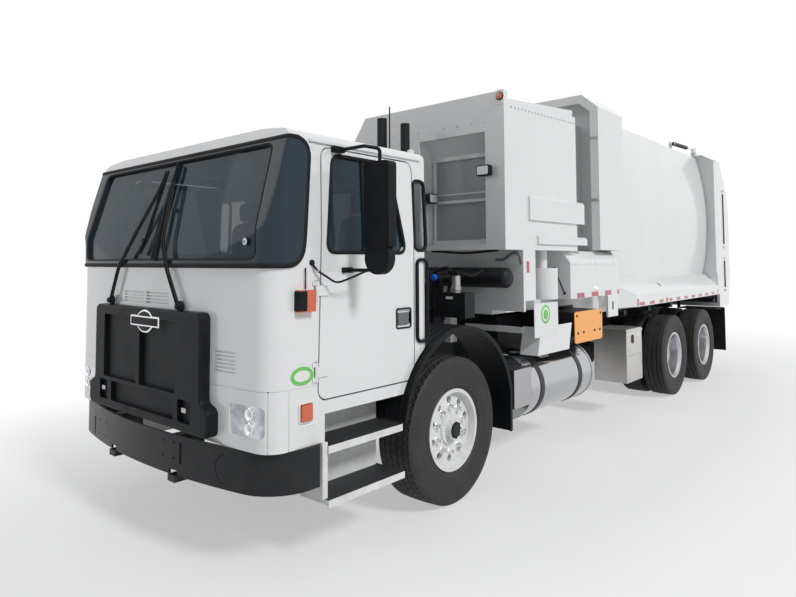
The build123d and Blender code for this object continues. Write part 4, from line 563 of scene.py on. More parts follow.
def slab(origin, plane, width, height, thick, radius=0.004, sunk=0.002):
    """A plate with rounded corners and a softened edge, its back a little inside what carries it."""
    soft = min(thick * 0.4, 0.004)
    return stack(round_rect(width, height, radius), [(0, -sunk), (0, thick - soft), (soft, thick)], origin, *plane)


def flank(y, z, width, height, thick, radius=0.004, sign=1, out=0.0):
    """A plate on the body's side, standing out from it."""
    return slab((sign * (BODY_HALF + out), y, z), side_plane(sign), width, height, thick, radius)


def strip(y0, y1, z, height, sign=1):
    """A flat strip of tape along the body's side."""
    return slab((sign * BODY_HALF, (y0 + y1) / 2, z), side_plane(sign), y1 - y0, height, 0.0012, 0.002, 0.001)


class TRUCK_OT_stage(bpy.types.Operator):
    """Floor, lamps, pale background and the camera at the photograph's angle"""
    bl_idname = "truck.stage"
    bl_label = "Stage"

    def execute(self, context):
        scene = context.scene
        scene.view_settings.view_transform = "Standard"
        self.floor()
        self.world(scene)
        self.lamps()
        self.camera(scene)
        return {"FINISHED"}

    def floor(self):
        mesh = bpy.data.meshes.new("floor")
        reach = 120
        mesh.from_pydata([(-reach, -reach, 0), (reach, -reach, 0), (reach, reach, 0), (-reach, reach, 0)], [],
                         [(0, 1, 2, 3)])
        made = bpy.data.objects.new("floor", mesh)
        bpy.context.scene.collection.objects.link(made)
        finish = Finish("pale_floor")
        shade = finish.noise(2.0, 5.0)
        finish.set(Base_Color=finish.mix(shade, (0.70, 0.70, 0.70), (0.76, 0.76, 0.76)), Roughness=0.85)
        far = (((finish.x / 2.6) * (finish.x / 2.6) + (finish.y / 6.0) * (finish.y / 6.0)) ** 0.5).ramp(0.8, 1.9)
        white = finish.node("ShaderNodeEmission", {}, {"Color": (1, 1, 1)})
        finish.surface(finish.seen() * (far * 0.55 + 0.45), Value(finish, finish.shader.outputs[0]), white,
                       "Material Output")
        mesh.materials.append(finish.material)

    def world(self, scene):
        """A soft even light; the background itself shows white."""
        scene.world = bpy.data.worlds.new("studio")
        sky = Finish("studio", scene.world)
        light = sky.node("ShaderNodeBackground", {}, {"Color": (0.93, 0.96, 1.0), "Strength": 0.36})
        shown = sky.node("ShaderNodeBackground", {}, {"Color": (1, 1, 1)})
        sky.surface(sky.seen(), light, shown, "World Output")

    def lamps(self):
        for name, strength, angle, direction in (("key", 1.9, 12, (1.0, -0.08, 0.85)),
                                                 ("fill", 0.15, 40, (-0.8, -0.9, 0.6))):
            data = bpy.data.lights.new(name, "SUN")
            data.energy, data.angle = strength, radians(angle)
            lamp = bpy.data.objects.new(name, data)
            lamp.rotation_euler = Vector(direction).to_track_quat("Z", "Y").to_euler()
            bpy.context.scene.collection.objects.link(lamp)

    def camera(self, scene):
        """A pinhole fitted to the photograph's wheels, cab corners and body edges."""
        focal_px, centre_px, frame_px = 626.7, (384.7, 228.4), (796, 597)
        turn, rise, roll = radians(41.722), radians(-2.948), radians(-0.18)
        back = Vector((sin(turn) * cos(rise), -cos(turn) * cos(rise), sin(rise)))
        right = (-back).cross(Vector((0, 0, 1))).normalized()
        up = right.cross(-back)
        data = bpy.data.cameras.new("photo_camera")
        data.sensor_width = 36
        data.lens = focal_px * 36 / frame_px[0]
        data.shift_x = (frame_px[0] / 2 - centre_px[0]) / frame_px[0]
        data.shift_y = (centre_px[1] - frame_px[1] / 2) / frame_px[0]
        data.clip_end = 300
        camera = bpy.data.objects.new("photo_camera", data)
        axes = Matrix((right, up, back)).transposed()
        camera.matrix_world = (Matrix.Translation((3.939, -6.92, 1.794)) @ axes.to_4x4()
                               @ Matrix.Rotation(roll, 4, "Z"))
        scene.collection.objects.link(camera)
        scene.camera = camera


class TRUCK_OT_finishes(bpy.types.Operator):
    """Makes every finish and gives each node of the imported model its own"""
    bl_idname = "truck.finishes"
    bl_label = "Finishes"

    def execute(self, context):
        make_finishes(context.scene.truck_colours)
        dress_nodes()
        return {"FINISHED"}


class TRUCK_OT_tyres(bpy.types.Operator):
    """Tyres with moulded sidewalls and a grooved tread"""
    bl_idname = "truck.tyres"
    bl_label = "Tyres"

    def execute(self, context):
        depth = context.scene.truck_sizes.tread_depth
        for side, _ in SIDES:
            node = f"front_tyre_{side}"
            self.tyre(node + "_tread", [np.array(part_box(node))], depth, f"wheel_front_{side}", node, 5)
            for n in (1, 2):
                node = f"rear_tyres_{n}_{side}"
                low, high = np.array(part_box(node))
                apart = np.array([high[0] - low[0] - TWIN_WIDTH, 0, 0])
                boxes = [(low, high - apart), (low + apart, high)]
                self.tyre(node + "_tread", boxes, depth, f"wheel_rear_{n}_{side}", node, 4)
        return {"FINISHED"}

    def tyre(self, name, boxes, depth, body, node, ribs):
        shapes = [self.ring((low + high) / 2, (high[2] - low[2]) / 2, (high[0] - low[0]) / 2, depth, ribs)
                  for low, high in boxes]
        made = piece(name, shapes, "tyre", body, angle=28)
        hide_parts(node)

    def ring(self, centre, radius, half, depth, ribs):
        """Radius over turn and place: sidewall curve, round shoulder, then ribs cut by straight grooves
        round the tread and by short slanted sipes across each rib."""
        count, crown, sipes, edge_at, lean, bead = 360, 41, 60, 0.84, 0.45, 0.288
        wall = [(bead, 0.70), (bead + 0.012, 0.80), (bead + 0.03, 0.86), (bead + 0.05, 0.93), (bead + 0.055, 0.915),
                (bead + 0.095, 0.965), (radius - 0.12, 0.995), (radius - 0.085, 0.985), (radius - 0.08, 0.997),
                (radius - 0.05, 0.975), (radius - 0.03, 0.955), (radius - 0.012, 0.90), (radius - 0.004, 0.86)]
        place = np.linspace(-edge_at, edge_at, crown)
        turn = np.arange(count) * 2 * pi / count
        phase = (place + edge_at) / (2 * edge_at) * ribs
        groove = (np.abs(phase - np.round(phase)) < 0.09) & (np.round(phase) > 0) & (np.round(phase) < ribs)
        slant = turn[None] * sipes / (2 * pi) + lean * phase[:, None] * np.where(np.floor(phase) % 2, 1, -1)[:, None]
        sipe = (np.abs(slant - np.round(slant)) < 0.10) & ~groove[:, None]
        edge = (np.abs(place) > 0.70)[:, None]
        height = radius - depth * groove[:, None] - depth * np.where(edge, 0.8, 0.35) * sipe
        height = height - 0.006 * (np.abs(place) / edge_at)[:, None] ** 4
        rise, reach = np.array(wall).T
        wall_rise = np.repeat(rise[:, None], count, 1)
        r = np.concatenate([wall_rise, height, wall_rise[::-1]])
        x = np.concatenate([-reach, place, reach[::-1]])[:, None] * half + 0 * turn
        points = np.stack([x, r * np.cos(turn), r * np.sin(turn)], -1) + np.array(centre)
        return points.reshape(-1, 3), grid_faces(len(r), count, close_rows=True)


class TRUCK_OT_wheel_fittings(bpy.types.Operator):
    """Wheel nuts with their covers, and the front wheels' hub caps"""
    bl_idname = "truck.wheel_fittings"
    bl_label = "Wheel fittings"

    def execute(self, context):
        nut = context.scene.truck_sizes.nut
        for side, sign in SIDES:
            low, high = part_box(f"front_rim_{side}")
            hub = np.array([high.x if sign > 0 else low.x, FRONT_AXLE_Y, (low.z + high.z) / 2])
            body = f"wheel_front_{side}"
            self.nuts(f"front_nuts_{side}", hub - (sign * 0.060, 0, 0), sign, nut, 0.052, body, "chrome")
            self.hub(f"front_hub_{side}", hub, sign, 0.062, body)
        for n, y in zip((1, 2), REAR_AXLE_YS):
            for side, sign in SIDES:
                low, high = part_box(f"rear_rims_{n}_{side}")
                place = (sign * 0.912, y, (low.z + high.z) / 2)
                self.nuts(f"rear_nuts_{n}_{side}", place, sign, nut, 0.04, f"wheel_rear_{n}_{side}", "steel")
        return {"FINISHED"}

    def plane(self, sign):
        """Directions whose cross product faces out of the wheel."""
        return ((0, 1, 0), (0, 0, 1)) if sign > 0 else ((0, 0, 1), (0, 1, 0))

    def places(self, centre, ring, count, phase=0.0):
        """Evenly spaced places on a ring round the axle."""
        turn = 2 * pi * (np.arange(count) + phase) / count
        return np.array(centre) + ring * np.stack([0 * turn, np.cos(turn), np.sin(turn)], -1)

    def nuts(self, name, centre, sign, width, height, body, finish):
        """Ten nuts: each a washer, a hexagon and a round cover."""
        parts = ((circle(width * 0.62, 16), [(0, -0.01), (0, 0.004), (0.003, 0.007)]),
                 (circle(width / 2, 6), [(0, 0.004), (0, 0.02), (0.004, 0.026)]),
                 (circle(width * 0.36, 14), [(0, 0.02), (0, height * 0.8), (0.004, height - 0.002), (0.009, height)]))
        shapes = [stack(*part, place, *self.plane(sign)) for place in self.places(centre, 0.1675, 10, 0.5)
                  for part in parts]
        piece(name, shapes, finish, body)

    def hub(self, name, centre, sign, radius, body):
        """Bolted hub cap: a flange with its screws and a stepped round cap."""
        stations = [(0, -0.03), (0, 0.002), (0.004, 0.005), (0.012, 0.005), (0.016, 0.012), (0.03, 0.013)]
        screws = bolts(self.places(centre, 0.055, 8) + (sign * 0.005, 0, 0), self.plane(sign), 0.006, 0.005)
        cap = stack(circle(radius * 0.97, 40), stations, centre, *self.plane(sign))
        piece(name, [cap] + screws, "bumper black", body)


def cab_side_x(z):
    """How far the cab's side stands from the middle at a height: upright, then leaning in above SIDE_LEAN_FROM."""
    return CAB_SIDE - np.maximum(np.asarray(z, float) - SIDE_LEAN_FROM, 0) / SIDE_LEAN_RISE * SIDE_LEAN


def cab_front_y(x, z):
    """Where the cab's nose lies: the further back of its bowed plan and its leaning windscreen."""
    plan = CAB_FRONT_SKIN + NOSE_BOW * (np.asarray(x, float) / CAB_SIDE) ** 2
    lean = CAB_FRONT_SKIN + SCREEN_LEAN * np.maximum(np.asarray(z, float) - SCREEN_FOOT, 0) / SCREEN_RISE
    return np.maximum(plan, lean)


def front_place(x, z, out=0.0):
    """A place, or a path of them, on the cab's nose or windscreen, standing out from it."""
    return np.stack([x + 0 * z, cab_front_y(x, z) - out, z], -1)


def cab_wrap(along, z, out=0.0):
    """A place on the cab's skin: along is the distance from the middle, over the nose, round its corner on an arc
    and back along the side, where WRAP_LINE always lies WRAP_LINE_DY from the front axle; out stands off the skin."""
    away, z = np.abs(along), np.asarray(z, float)
    side = cab_side_x(z) + out
    radius = np.interp(z, CORNER_HEIGHTS, CORNER_RADII)
    start = side - radius
    nose = cab_front_y(np.minimum(away, start), z) - out
    run = radius * (pi / 2 - 1) + FRONT_AXLE_Y + WRAP_LINE_DY - cab_front_y(start, z) + out
    past = np.clip((away - start) / (WRAP_LINE - start), 0, 1) * run
    turn = np.clip(past / radius, 0, pi / 2)
    x = np.where(away < start, away, start + radius * np.sin(turn))
    y = (nose + radius * (1 - np.cos(turn)) + np.maximum(past - radius * pi / 2, 0)
         + np.maximum(away - WRAP_LINE, 0))
    return np.stack([np.sign(along) * x, y, z], -1)


def lip(width):
    """Half-round seal section, sunk a little into the wall."""
    turn = np.linspace(0, pi, 9)
    top = np.stack([-width / 2 * np.cos(turn), 0.009 * np.sin(turn)], -1)
    return np.concatenate([top, [(width / 2, -0.012), (-width / 2, -0.012)]])


def loop(corners, radius):
    """A closed path through the corners with round bends, even enough to carry a section."""
    pts = [np.array(c, float) for c in corners]
    path = []
    for k, corner in enumerate(pts):
        a, b = pts[k - 1] - corner, pts[(k + 1) % len(pts)] - corner
        start, end = corner + a / np.linalg.norm(a) * radius, corner + b / np.linalg.norm(b) * radius
        for t in np.linspace(0, 1, 7):
            path.append((1 - t) ** 2 * start + 2 * t * (1 - t) * corner + t * t * end)
        for t in np.linspace(0, 1, 10)[1:-1]:
            far = pts[(k + 1) % len(pts)]
            back = (pts[k] - far) / np.linalg.norm(pts[k] - far) * radius
            path.append(end + (far + back - end) * t)
    return np.array(path)


def finer(path):
    """The closed path with each of its runs divided evenly, so that it follows a bent skin."""
    times = 8
    at, ends = np.arange(len(path) * times) / times, np.arange(len(path) + 1)
    return np.stack([np.interp(at, ends, np.append(path[:, k], path[0, k])) for k in range(path.shape[1])], -1)


def beside(sign, flat, out=0.0):
    """A path of (distance behind the front axle, height) laid on the cab's side, standing out from it."""
    return np.stack([sign * (cab_side_x(flat[:, 1]) + out), FRONT_AXLE_Y + flat[:, 0], flat[:, 1]], -1)


def side_ring(sign, corners, radius, section, out=0.0):
    """A section carried along a closed path on the cab's side."""
    return sweep(beside(sign, loop(corners, radius), out), section, (sign, 0, 0.05), closed=True)


def oblong(ys, zs):
    """Corners of an upright rectangle, two lengths by two heights."""
    return [(ys[0], zs[0]), (ys[0], zs[1]), (ys[1], zs[1]), (ys[1], zs[0])]


class TRUCK_OT_window_seals(bpy.types.Operator):
    """Black rubber seals round every window, the windscreen's middle bar and its dark edge round the corners"""
    bl_idname = "truck.window_seals"
    bl_label = "Window seals"

    def execute(self, context):
        width = context.scene.truck_sizes.gasket
        screen = loop(self.window(1.085, 1.80, 1.055, 2.485), 0.07)
        path = front_place(screen[:, 0], screen[:, 1])
        piece("windscreen_seal", [sweep(path, lip(width), (0, -1, 0.28), closed=True)], "rubber")
        outer = finer(loop(self.window(1.40, 1.768, 1.474, 2.508), 0.12))
        share = np.linspace(0, 1, 41)[:, None, None] ** 0.9
        flat = finer(screen) * (1 - share) + outer * share
        proud = np.minimum(share[..., 0] * 30, 1) * 0.009 + 0.002 + 0 * flat[..., 0]
        skin = cab_wrap(flat[..., 0], flat[..., 1], proud)
        piece("windscreen_edge", [(skin.reshape(-1, 3), grid_faces(len(share), len(outer)))], "screen edge")
        piece("windscreen_rim", [self.band(outer, width * 1.15)], "rubber")
        bar = front_place(0, np.linspace(1.79, 2.49, 12))
        piece("windscreen_bar", [sweep(bar, lip(0.03), (0, -1, 0.28))], "rubber")
        door = [(-1.315, 1.845), (-1.255, 2.44), (-0.735, 2.44), (-0.585, 1.845)]
        corner = oblong((-0.487, -0.36), (1.865, 2.355))
        z = np.linspace(1.85, 2.435, 10)
        post = np.stack([0 * z - 0.98, z], -1)
        for side, sign in SIDES:
            body = f"door_{side}"
            piece(f"door_seal_{side}", [side_ring(sign, door, 0.07, lip(width * 0.9))], "rubber", body)
            piece(f"corner_seal_{side}", [side_ring(sign, corner, 0.05, lip(width * 0.9))], "rubber")
            piece(f"door_window_post_{side}", [sweep(beside(sign, post, -0.008), lip(0.032), (sign, 0, 0.05))],
                  "rubber", body)
        return {"FINISHED"}

    def window(self, foot, low, head, high):
        """Corners of an opening that is as wide on both sides of the middle."""
        return [(-foot, low), (foot, low), (head, high), (-head, high)]

    def band(self, flat, width):
        """Seal carried along a flat path on the skin: its section goes across the path and stands off the skin."""
        step = np.roll(flat, -1, 0) - np.roll(flat, 1, 0)
        away = np.stack([step[:, 1], -step[:, 0]], -1)
        away /= np.linalg.norm(away, axis=1)[:, None]
        section = lip(width)
        spread = flat[None] + away[None] * section[:, None, None, 0]
        rise = np.broadcast_to(section[:, None, 1] + 0.007, spread.shape[:2])
        skin = cab_wrap(spread[..., 0], spread[..., 1], rise)
        return skin.reshape(-1, 3), grid_faces(len(section), len(flat), close_rows=True)


class TRUCK_OT_seats(bpy.types.Operator):
    """Two padded seats with crowned cushions and headrests"""
    bl_idname = "truck.seats"
    bl_label = "Seats"

    def execute(self, context):
        low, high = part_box("seats")
        shapes = []
        for sign in (-1, 1):
            x = sign * 0.71
            for centre, size in (((x, high.y - 0.29, low.z + 0.40), (0.25, 0.245, 0.062)),
                                 ((x, high.y - 0.062, low.z + 0.74), (0.245, 0.06, 0.275)),
                                 ((x, high.y - 0.062, low.z + 1.11), (0.128, 0.045, 0.085))):
                shapes.append(self.cushion(centre, size))
            shapes.append(stack(round_rect(0.36, 0.24, 0.04), [(0, 0), (0, 0.32), (0.02, 0.335)],
                                (x, low.y + 0.13, low.z), (1, 0, 0), (0, 1, 0)))
        made = piece("seat_pads", shapes, "seat cloth")
        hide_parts("seats")
        return {"FINISHED"}

    def cushion(self, centre, size):
        """A crowned cushion: a superellipsoid, rounder in plan than a box, pulled in between its corners."""
        rows, columns = 24, 36
        a, b = np.meshgrid(np.linspace(-pi / 2, pi / 2, rows), np.arange(columns) * 2 * pi / columns, indexing="ij")

        def soft(value):
            return np.sign(value) * np.abs(value) ** 0.45

        unit = np.stack([soft(np.cos(a)) * soft(np.cos(b)), soft(np.cos(a)) * soft(np.sin(b)), soft(np.sin(a))], -1)
        points = np.array(centre) + unit * np.array(size)
        return points.reshape(-1, 3), grid_faces(rows, columns)


class TRUCK_OT_cab_trim(bpy.types.Operator):
    """Door handles, locks, grab handles, mirror faces, cables, badge, lamps, stickers and wipers"""
    bl_idname = "truck.cab_trim"
    bl_label = "Cab trim"

    def execute(self, context):
        for side, sign in SIDES:
            self.door(side, sign)
            self.mirror(side, sign)
            self.corner(side, sign)
        self.nose()
        self.wipers()
        return {"FINISHED"}

    def at(self, sign, dy, z, out=0.0):
        """A place on the cab's side, dy behind the front axle and out from the skin."""
        return np.array([sign * (float(cab_side_x(z)) + out), FRONT_AXLE_Y + dy, z])

    def door(self, side, sign):
        """Pull in its framed pocket, lock, and the long grab handle behind the door: rings along closed paths."""
        plane, body = side_plane(sign), f"door_{side}"
        piece(f"door_pull_{side}", [slab(self.at(sign, -0.6095, 1.402, -0.010), plane, 0.112, 0.082, 0.010, 0.010)],
              "grey plastic", body)
        frame_ring = side_ring(sign, oblong((-0.683, -0.536), (1.342, 1.471)), 0.016, lip(0.012))
        piece(f"door_pull_frame_{side}", [frame_ring], "plastic", body)
        piece(f"door_lock_{side}", [knob(self.at(sign, -0.594, 1.502), *plane, 0.012, 0.004)], "chrome", body)
        grip = side_ring(sign, oblong((-0.472, -0.362), (1.235, 1.800)), 0.045, circle(0.0125, 12)(0), 0.010)
        piece(f"grab_handle_{side}", [grip], "plastic")

    def mirror(self, side, sign):
        """Flat and wide-angle glass on the heads' rear faces, clamps on the tubes and the heater's cable."""
        body, back = f"door_{side}", FRONT_AXLE_Y - 1.08
        x = sign * (CAB_SIDE + 0.245)
        piece(f"mirror_flat_{side}", [slab((x, back, 2.1275), REAR, 0.176, 0.488, 0.004, 0.02)], "mirror glass", body)
        dome = [(0.092 * (1 - cos(a)), 0.012 * sin(a) / sin(1.2) if a else 0.0) for a in np.linspace(0, 1.2, 8)]
        piece(f"mirror_round_{side}", [stack(circle(0.092, 40), [(0, -0.004)] + dome, (x, back - 0.010, 1.81), *REAR)],
              "mirror glass", body)
        shapes = []
        for z in (2.02, 2.26):
            shapes.append(slab((x, FRONT_AXLE_Y - 1.15, z), FRONT, 0.07, 0.032, 0.006))
            shapes += bolt((x, FRONT_AXLE_Y - 1.156, z), *FRONT, 0.007, 0.006)
        piece(f"mirror_clamps_{side}", shapes, "plastic", body)
        mirror_cable = [(1.224, -1.404, 1.733), (1.246, -1.362, 1.703), (1.280, -1.313, 1.662), (1.325, -1.250, 1.690),
                        (1.366, -1.142, 1.735)]
        fixed_cable = [(1.196, -1.436, 1.784), (1.214, -1.424, 1.757), (1.223, -1.409, 1.737)]
        for name, places, carrier in (("mirror_cable", mirror_cable, body), ("pillar_cable", fixed_cable, "chassis")):
            path = [(sign * px, FRONT_AXLE_Y + dy, pz) for px, dy, pz in places]
            piece(f"{name}_{side}", [tube(path, 0.0065, 0.04)], "rubber", carrier)
        piece(f"cable_grommet_{side}", [knob(self.at(sign, -1.436, 1.784), *side_plane(sign), 0.017, 0.012)], "rubber")
        path = [self.at(sign, -1.486, 1.753, 0.004), self.at(sign, -1.492, 1.70, 0.014),
                self.at(sign, -1.486, 1.632, 0.006)]
        piece(f"lamp_cable_{side}", [tube(path, 0.004, 0.05)], "rubber")

    def corner(self, side, sign):
        """Turn lamp's black base, side marker's bezel, bright strip and, on the left, the oval sticker."""
        plane = side_plane(sign)
        piece(f"turn_lamp_base_{side}", [slab(self.at(sign, -1.535, 1.5675), plane, 0.062, 0.118, 0.047, 0.012)],
              "plastic")
        bezel = side_ring(sign, oblong((-1.528, -1.432), (0.882, 0.988)), 0.010, lip(0.014), 0.002)
        piece(f"marker_bezel_{side}", [bezel], "body white")
        piece(f"bright_strip_{side}", [slab(self.at(sign, -1.45, 0.862), plane, 0.11, 0.016, 0.004)], "chrome")
        if sign > 0:
            place = self.at(sign, -1.505, 1.142)
            piece("oval_sticker", [stack(oval(0.170, 0.106), [(0, -0.001), (0, 0.001)], place, *plane)], "green print")
            piece("oval_sticker_middle", [stack(oval(0.118, 0.062), [(0, 0), (0, 0.0016)], place, *plane)], "label")

    def nose(self):
        """Bare badge, an oval in a bright rim with a band across it; headlamp bowls, roof lamp, latches, sticker."""
        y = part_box("grille")[0].y
        place = np.array([0.035, y + 0.0035, 1.405])
        piece("badge_rim", [stack(oval(0.215, 0.150), [(0, -0.03), (0, 0.003), (0.003, 0.006)], place, *FRONT),
                            slab(place, FRONT, 0.372, 0.070, 0.0075, 0.006, 0.03)], "chrome")
        piece("badge_field", [stack(oval(0.193, 0.128), [(0, 0.004), (0, 0.0068), (0.002, 0.0072)], place, *FRONT),
                              slab(place, FRONT, 0.356, 0.054, 0.008, 0.004, -0.004)], "plastic")
        rims, bowls = [], []
        for _, sign in SIDES:
            for z in (0.945, 0.866):
                place = front_place(sign * 1.035, z, -0.004)
                rims.append(stack(circle(0.036, 32), [(0, -0.01), (0, 0.009), (0.004, 0.012), (0.008, 0.009),
                                                      (0.03, -0.006)], place, *FRONT))
                bowls.append(knob(place, *FRONT, 0.029, 0.009, 28, 0.7))
        piece("headlamp_rims", rims, "chrome")
        piece("roof_lamp", [knob((1.085, FRONT_AXLE_Y - 0.385, 2.556), *TOP, 0.024, 0.040, 24, 0.5)], "clear")
        latches = [slab((x, y + 0.002, 0.905), FRONT, 0.05, 0.028, 0.002, 0.006) for x in (-0.54, 0.52)]
        piece("grille_latches", latches, "steel")
        piece("headlamp_bowls", bowls, "clear")
        spot = front_place(0.985, 1.905)
        piece("screen_sticker", [knob(spot, *FRONT, 0.021, 0.003, 24)], "label")
        piece("screen_sticker_middle", [knob(spot, *FRONT, 0.008, 0.004, 16)], "plastic")

    def wipers(self):
        """Two wipers from below the windscreen to its middle: paired arms on a boss, and a blade with its spine."""
        sets = ((((-0.513, 1.521), (-0.388, 1.755), (-0.272, 1.971), (-0.086, 2.308), (-0.065, 2.42)),
                 ((-0.150, 1.85), (-0.124, 1.935), (-0.085, 2.42))),
                (((0.407, 1.516), (0.271, 1.75), (0.135, 1.927), (0.097, 2.152), (0.067, 2.337)),
                 ((0.075, 1.80), (0.040, 2.16), (0.034, 2.46))))
        shapes = []
        for arm, blade in sets:
            for shift in (-0.014, 0.014):
                path = [(x + shift, front_place(x, z, 0.032)[1], z) for x, z in arm]
                shapes.append(tube(path, 0.0065, 0.05, 8))
            x, z = arm[0]
            shapes.append(knob((x, CAB_FRONT_SKIN - 0.001, z), *FRONT, 0.034, 0.020, 24))
            shapes.append(knob((x, CAB_FRONT_SKIN - 0.02, z), *FRONT, 0.018, 0.022, 16))
            for out, radius in ((0.012, 0.0085), (0.024, 0.005)):
                shapes.append(tube([front_place(x, z, out) for x, z in blade], radius, 0.05, 8))
            shapes.append(slab(front_place(*blade[1], 0.03), FRONT, 0.04, 0.03, 0.012, 0.004, 0.02))
        made = piece("wiper_set", shapes, "plastic")
        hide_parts("wipers")


class TRUCK_OT_behind_cab(bpy.types.Operator):
    """Filter, hoses, work lamps and corner lamp between the cab and the hopper"""
    bl_idname = "truck.behind_cab"
    bl_label = "Behind the cab"

    def execute(self, context):
        x0, y0, z0 = 0.923, FRONT_AXLE_Y + 0.40, 1.528
        piece("filter_bowl", [stack(circle(0.036, 28), [(0, 0), (0, 0.02), (-0.006, 0.024), (-0.006, 0.05), (0, 0.054),
                                                        (0, 0.14), (0.01, 0.152)], (x0, y0, z0), *TOP)], "steel")
        piece("filter_head", [slab((x0 - 0.01, y0, z0 + 0.15), TOP, 0.10, 0.085, 0.03, 0.01)], "plastic")
        piece("coupling_blue", [knob((0.749, y0 - 0.065, 1.652), *FRONT, 0.027, 0.03, 20)], "blue cap")
        hoses = (([(0.749, 0.03, 1.652), (0.749, 0.18, 1.66), (0.66, 0.26, 1.55), (0.62, 0.25, 1.30),
                   (0.50, 0.20, 1.05)], 0.016, 0.09),
                 ([(x0 - 0.04, 0, 1.69), (x0 - 0.12, 0.05, 1.74), (x0 - 0.30, 0.08, 1.70), (0.52, 0.10, 1.40),
                   (0.50, 0.12, 1.05)], 0.013, 0.09),
                 ([(x0 + 0.04, 0, 1.69), (x0 + 0.10, 0.10, 1.66), (x0 + 0.06, 0.33, 1.72)], 0.010, 0.06))
        shapes = [knob((0.749, y0 + 0.04, 1.652), *FRONT, 0.021, 0.11, 20),
                  slab((0.749, y0, z0), TOP, 0.05, 0.05, 0.13, 0.006)]
        shapes += [tube(np.array(run) + (0, y0, 0), radius, corner) for run, radius, corner in hoses]
        piece("hoses_black", shapes, "rubber")
        piece("cleaner_label", [slab((0.90, FRONT_AXLE_Y + 0.33, 1.488), FRONT, 0.07, 0.022, 0.0015)], "label")
        self.hopper_front()
        return {"FINISHED"}

    def hopper_front(self):
        """Pieces on the hopper's front wall, among them a thin blue-grey sheet of painted shade in its bay; they tip
        with the body.
        """
        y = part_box("hopper")[0].y
        body = "dump_body"
        piece("cable_under_hopper", [tube([(0.42, y + 0.04, 1.880), (0.62, y + 0.02, 1.868), (0.80, y + 0.02, 1.856),
                                           (0.97, y + 0.03, 1.868), (1.12, y + 0.05, 1.880)], 0.010, 0.09)], "rubber",
              body)
        piece("grey_hose", [tube([(0.95, y + 0.285, 1.80), (1.03, y + 0.275, 1.795), (1.10, y + 0.27, 1.845),
                                  (1.157, y + 0.27, 1.868), (1.198, y + 0.275, 1.83), (1.198, y + 0.288, 1.76)], 0.011,
                                 0.035)], "grey plastic", body)
        # The bay's back wall: a thin blue-grey sheet of painted shade laid over the white, standing for the shadow
        # inside the recess
        bay = [slab((0.67, y + 0.219, 2.415), FRONT, 0.714, 0.964, 0.004, 0.01, -0.001)]
        piece("bay_painted_shade_sheet", bay, "painted shade grey", body)
        ribs = [slab((0.67, y + 0.216, z), FRONT, 0.71, tall, 0.03, 0.008)
                for z, tall in ((2.80, 0.16), (2.335, 0.028), (1.955, 0.05))]
        ribs += [slab((x, y + 0.216, 2.415), FRONT, 0.03, 0.96, 0.022, 0.006) for x in (0.335, 0.98)]
        piece("bay_ribs", ribs, "body white", body)
        shapes, glass = [], []
        for place, plane in (((1.052, y, 2.555), FRONT), ((0.310, y + 0.11, 2.373), ((0, 1, 0), (0, 0, 1)))):
            shapes.append(slab(place, plane, 0.032, 0.032, 0.035, 0.006))
            out = np.cross(*plane)
            shapes.append(slab(np.array(place) + 0.03 * out, plane, 0.128, 0.092, 0.052, 0.014))
            glass.append(slab(np.array(place) + 0.08 * out, plane, 0.108, 0.072, 0.004, 0.01))
        piece("work_lamps", shapes, "plastic", body)
        piece("work_lamp_glass", glass, "clear", body)
        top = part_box("hopper")[1].z - 0.07
        piece("corner_lamp_plate", [slab((1.185, y, top - 0.055), FRONT, 0.068, 0.125, 0.006, 0.01)], "body white",
              body)
        piece("corner_lamp_rim", [knob((1.185, y - 0.006, top - 0.05), *FRONT, 0.036, 0.010, 28)], "plastic", body)
        piece("corner_lamp", [knob((1.185, y - 0.015, top - 0.05), *FRONT, 0.029, 0.010, 28, 0.5)], "amber", body)
        row = [(x, y, 2.985) for x in np.arange(-0.30, 1.19, 0.149)]
        piece("hopper_front_bolts", bolts(row, FRONT, 0.007, 0.005), "steel", body)


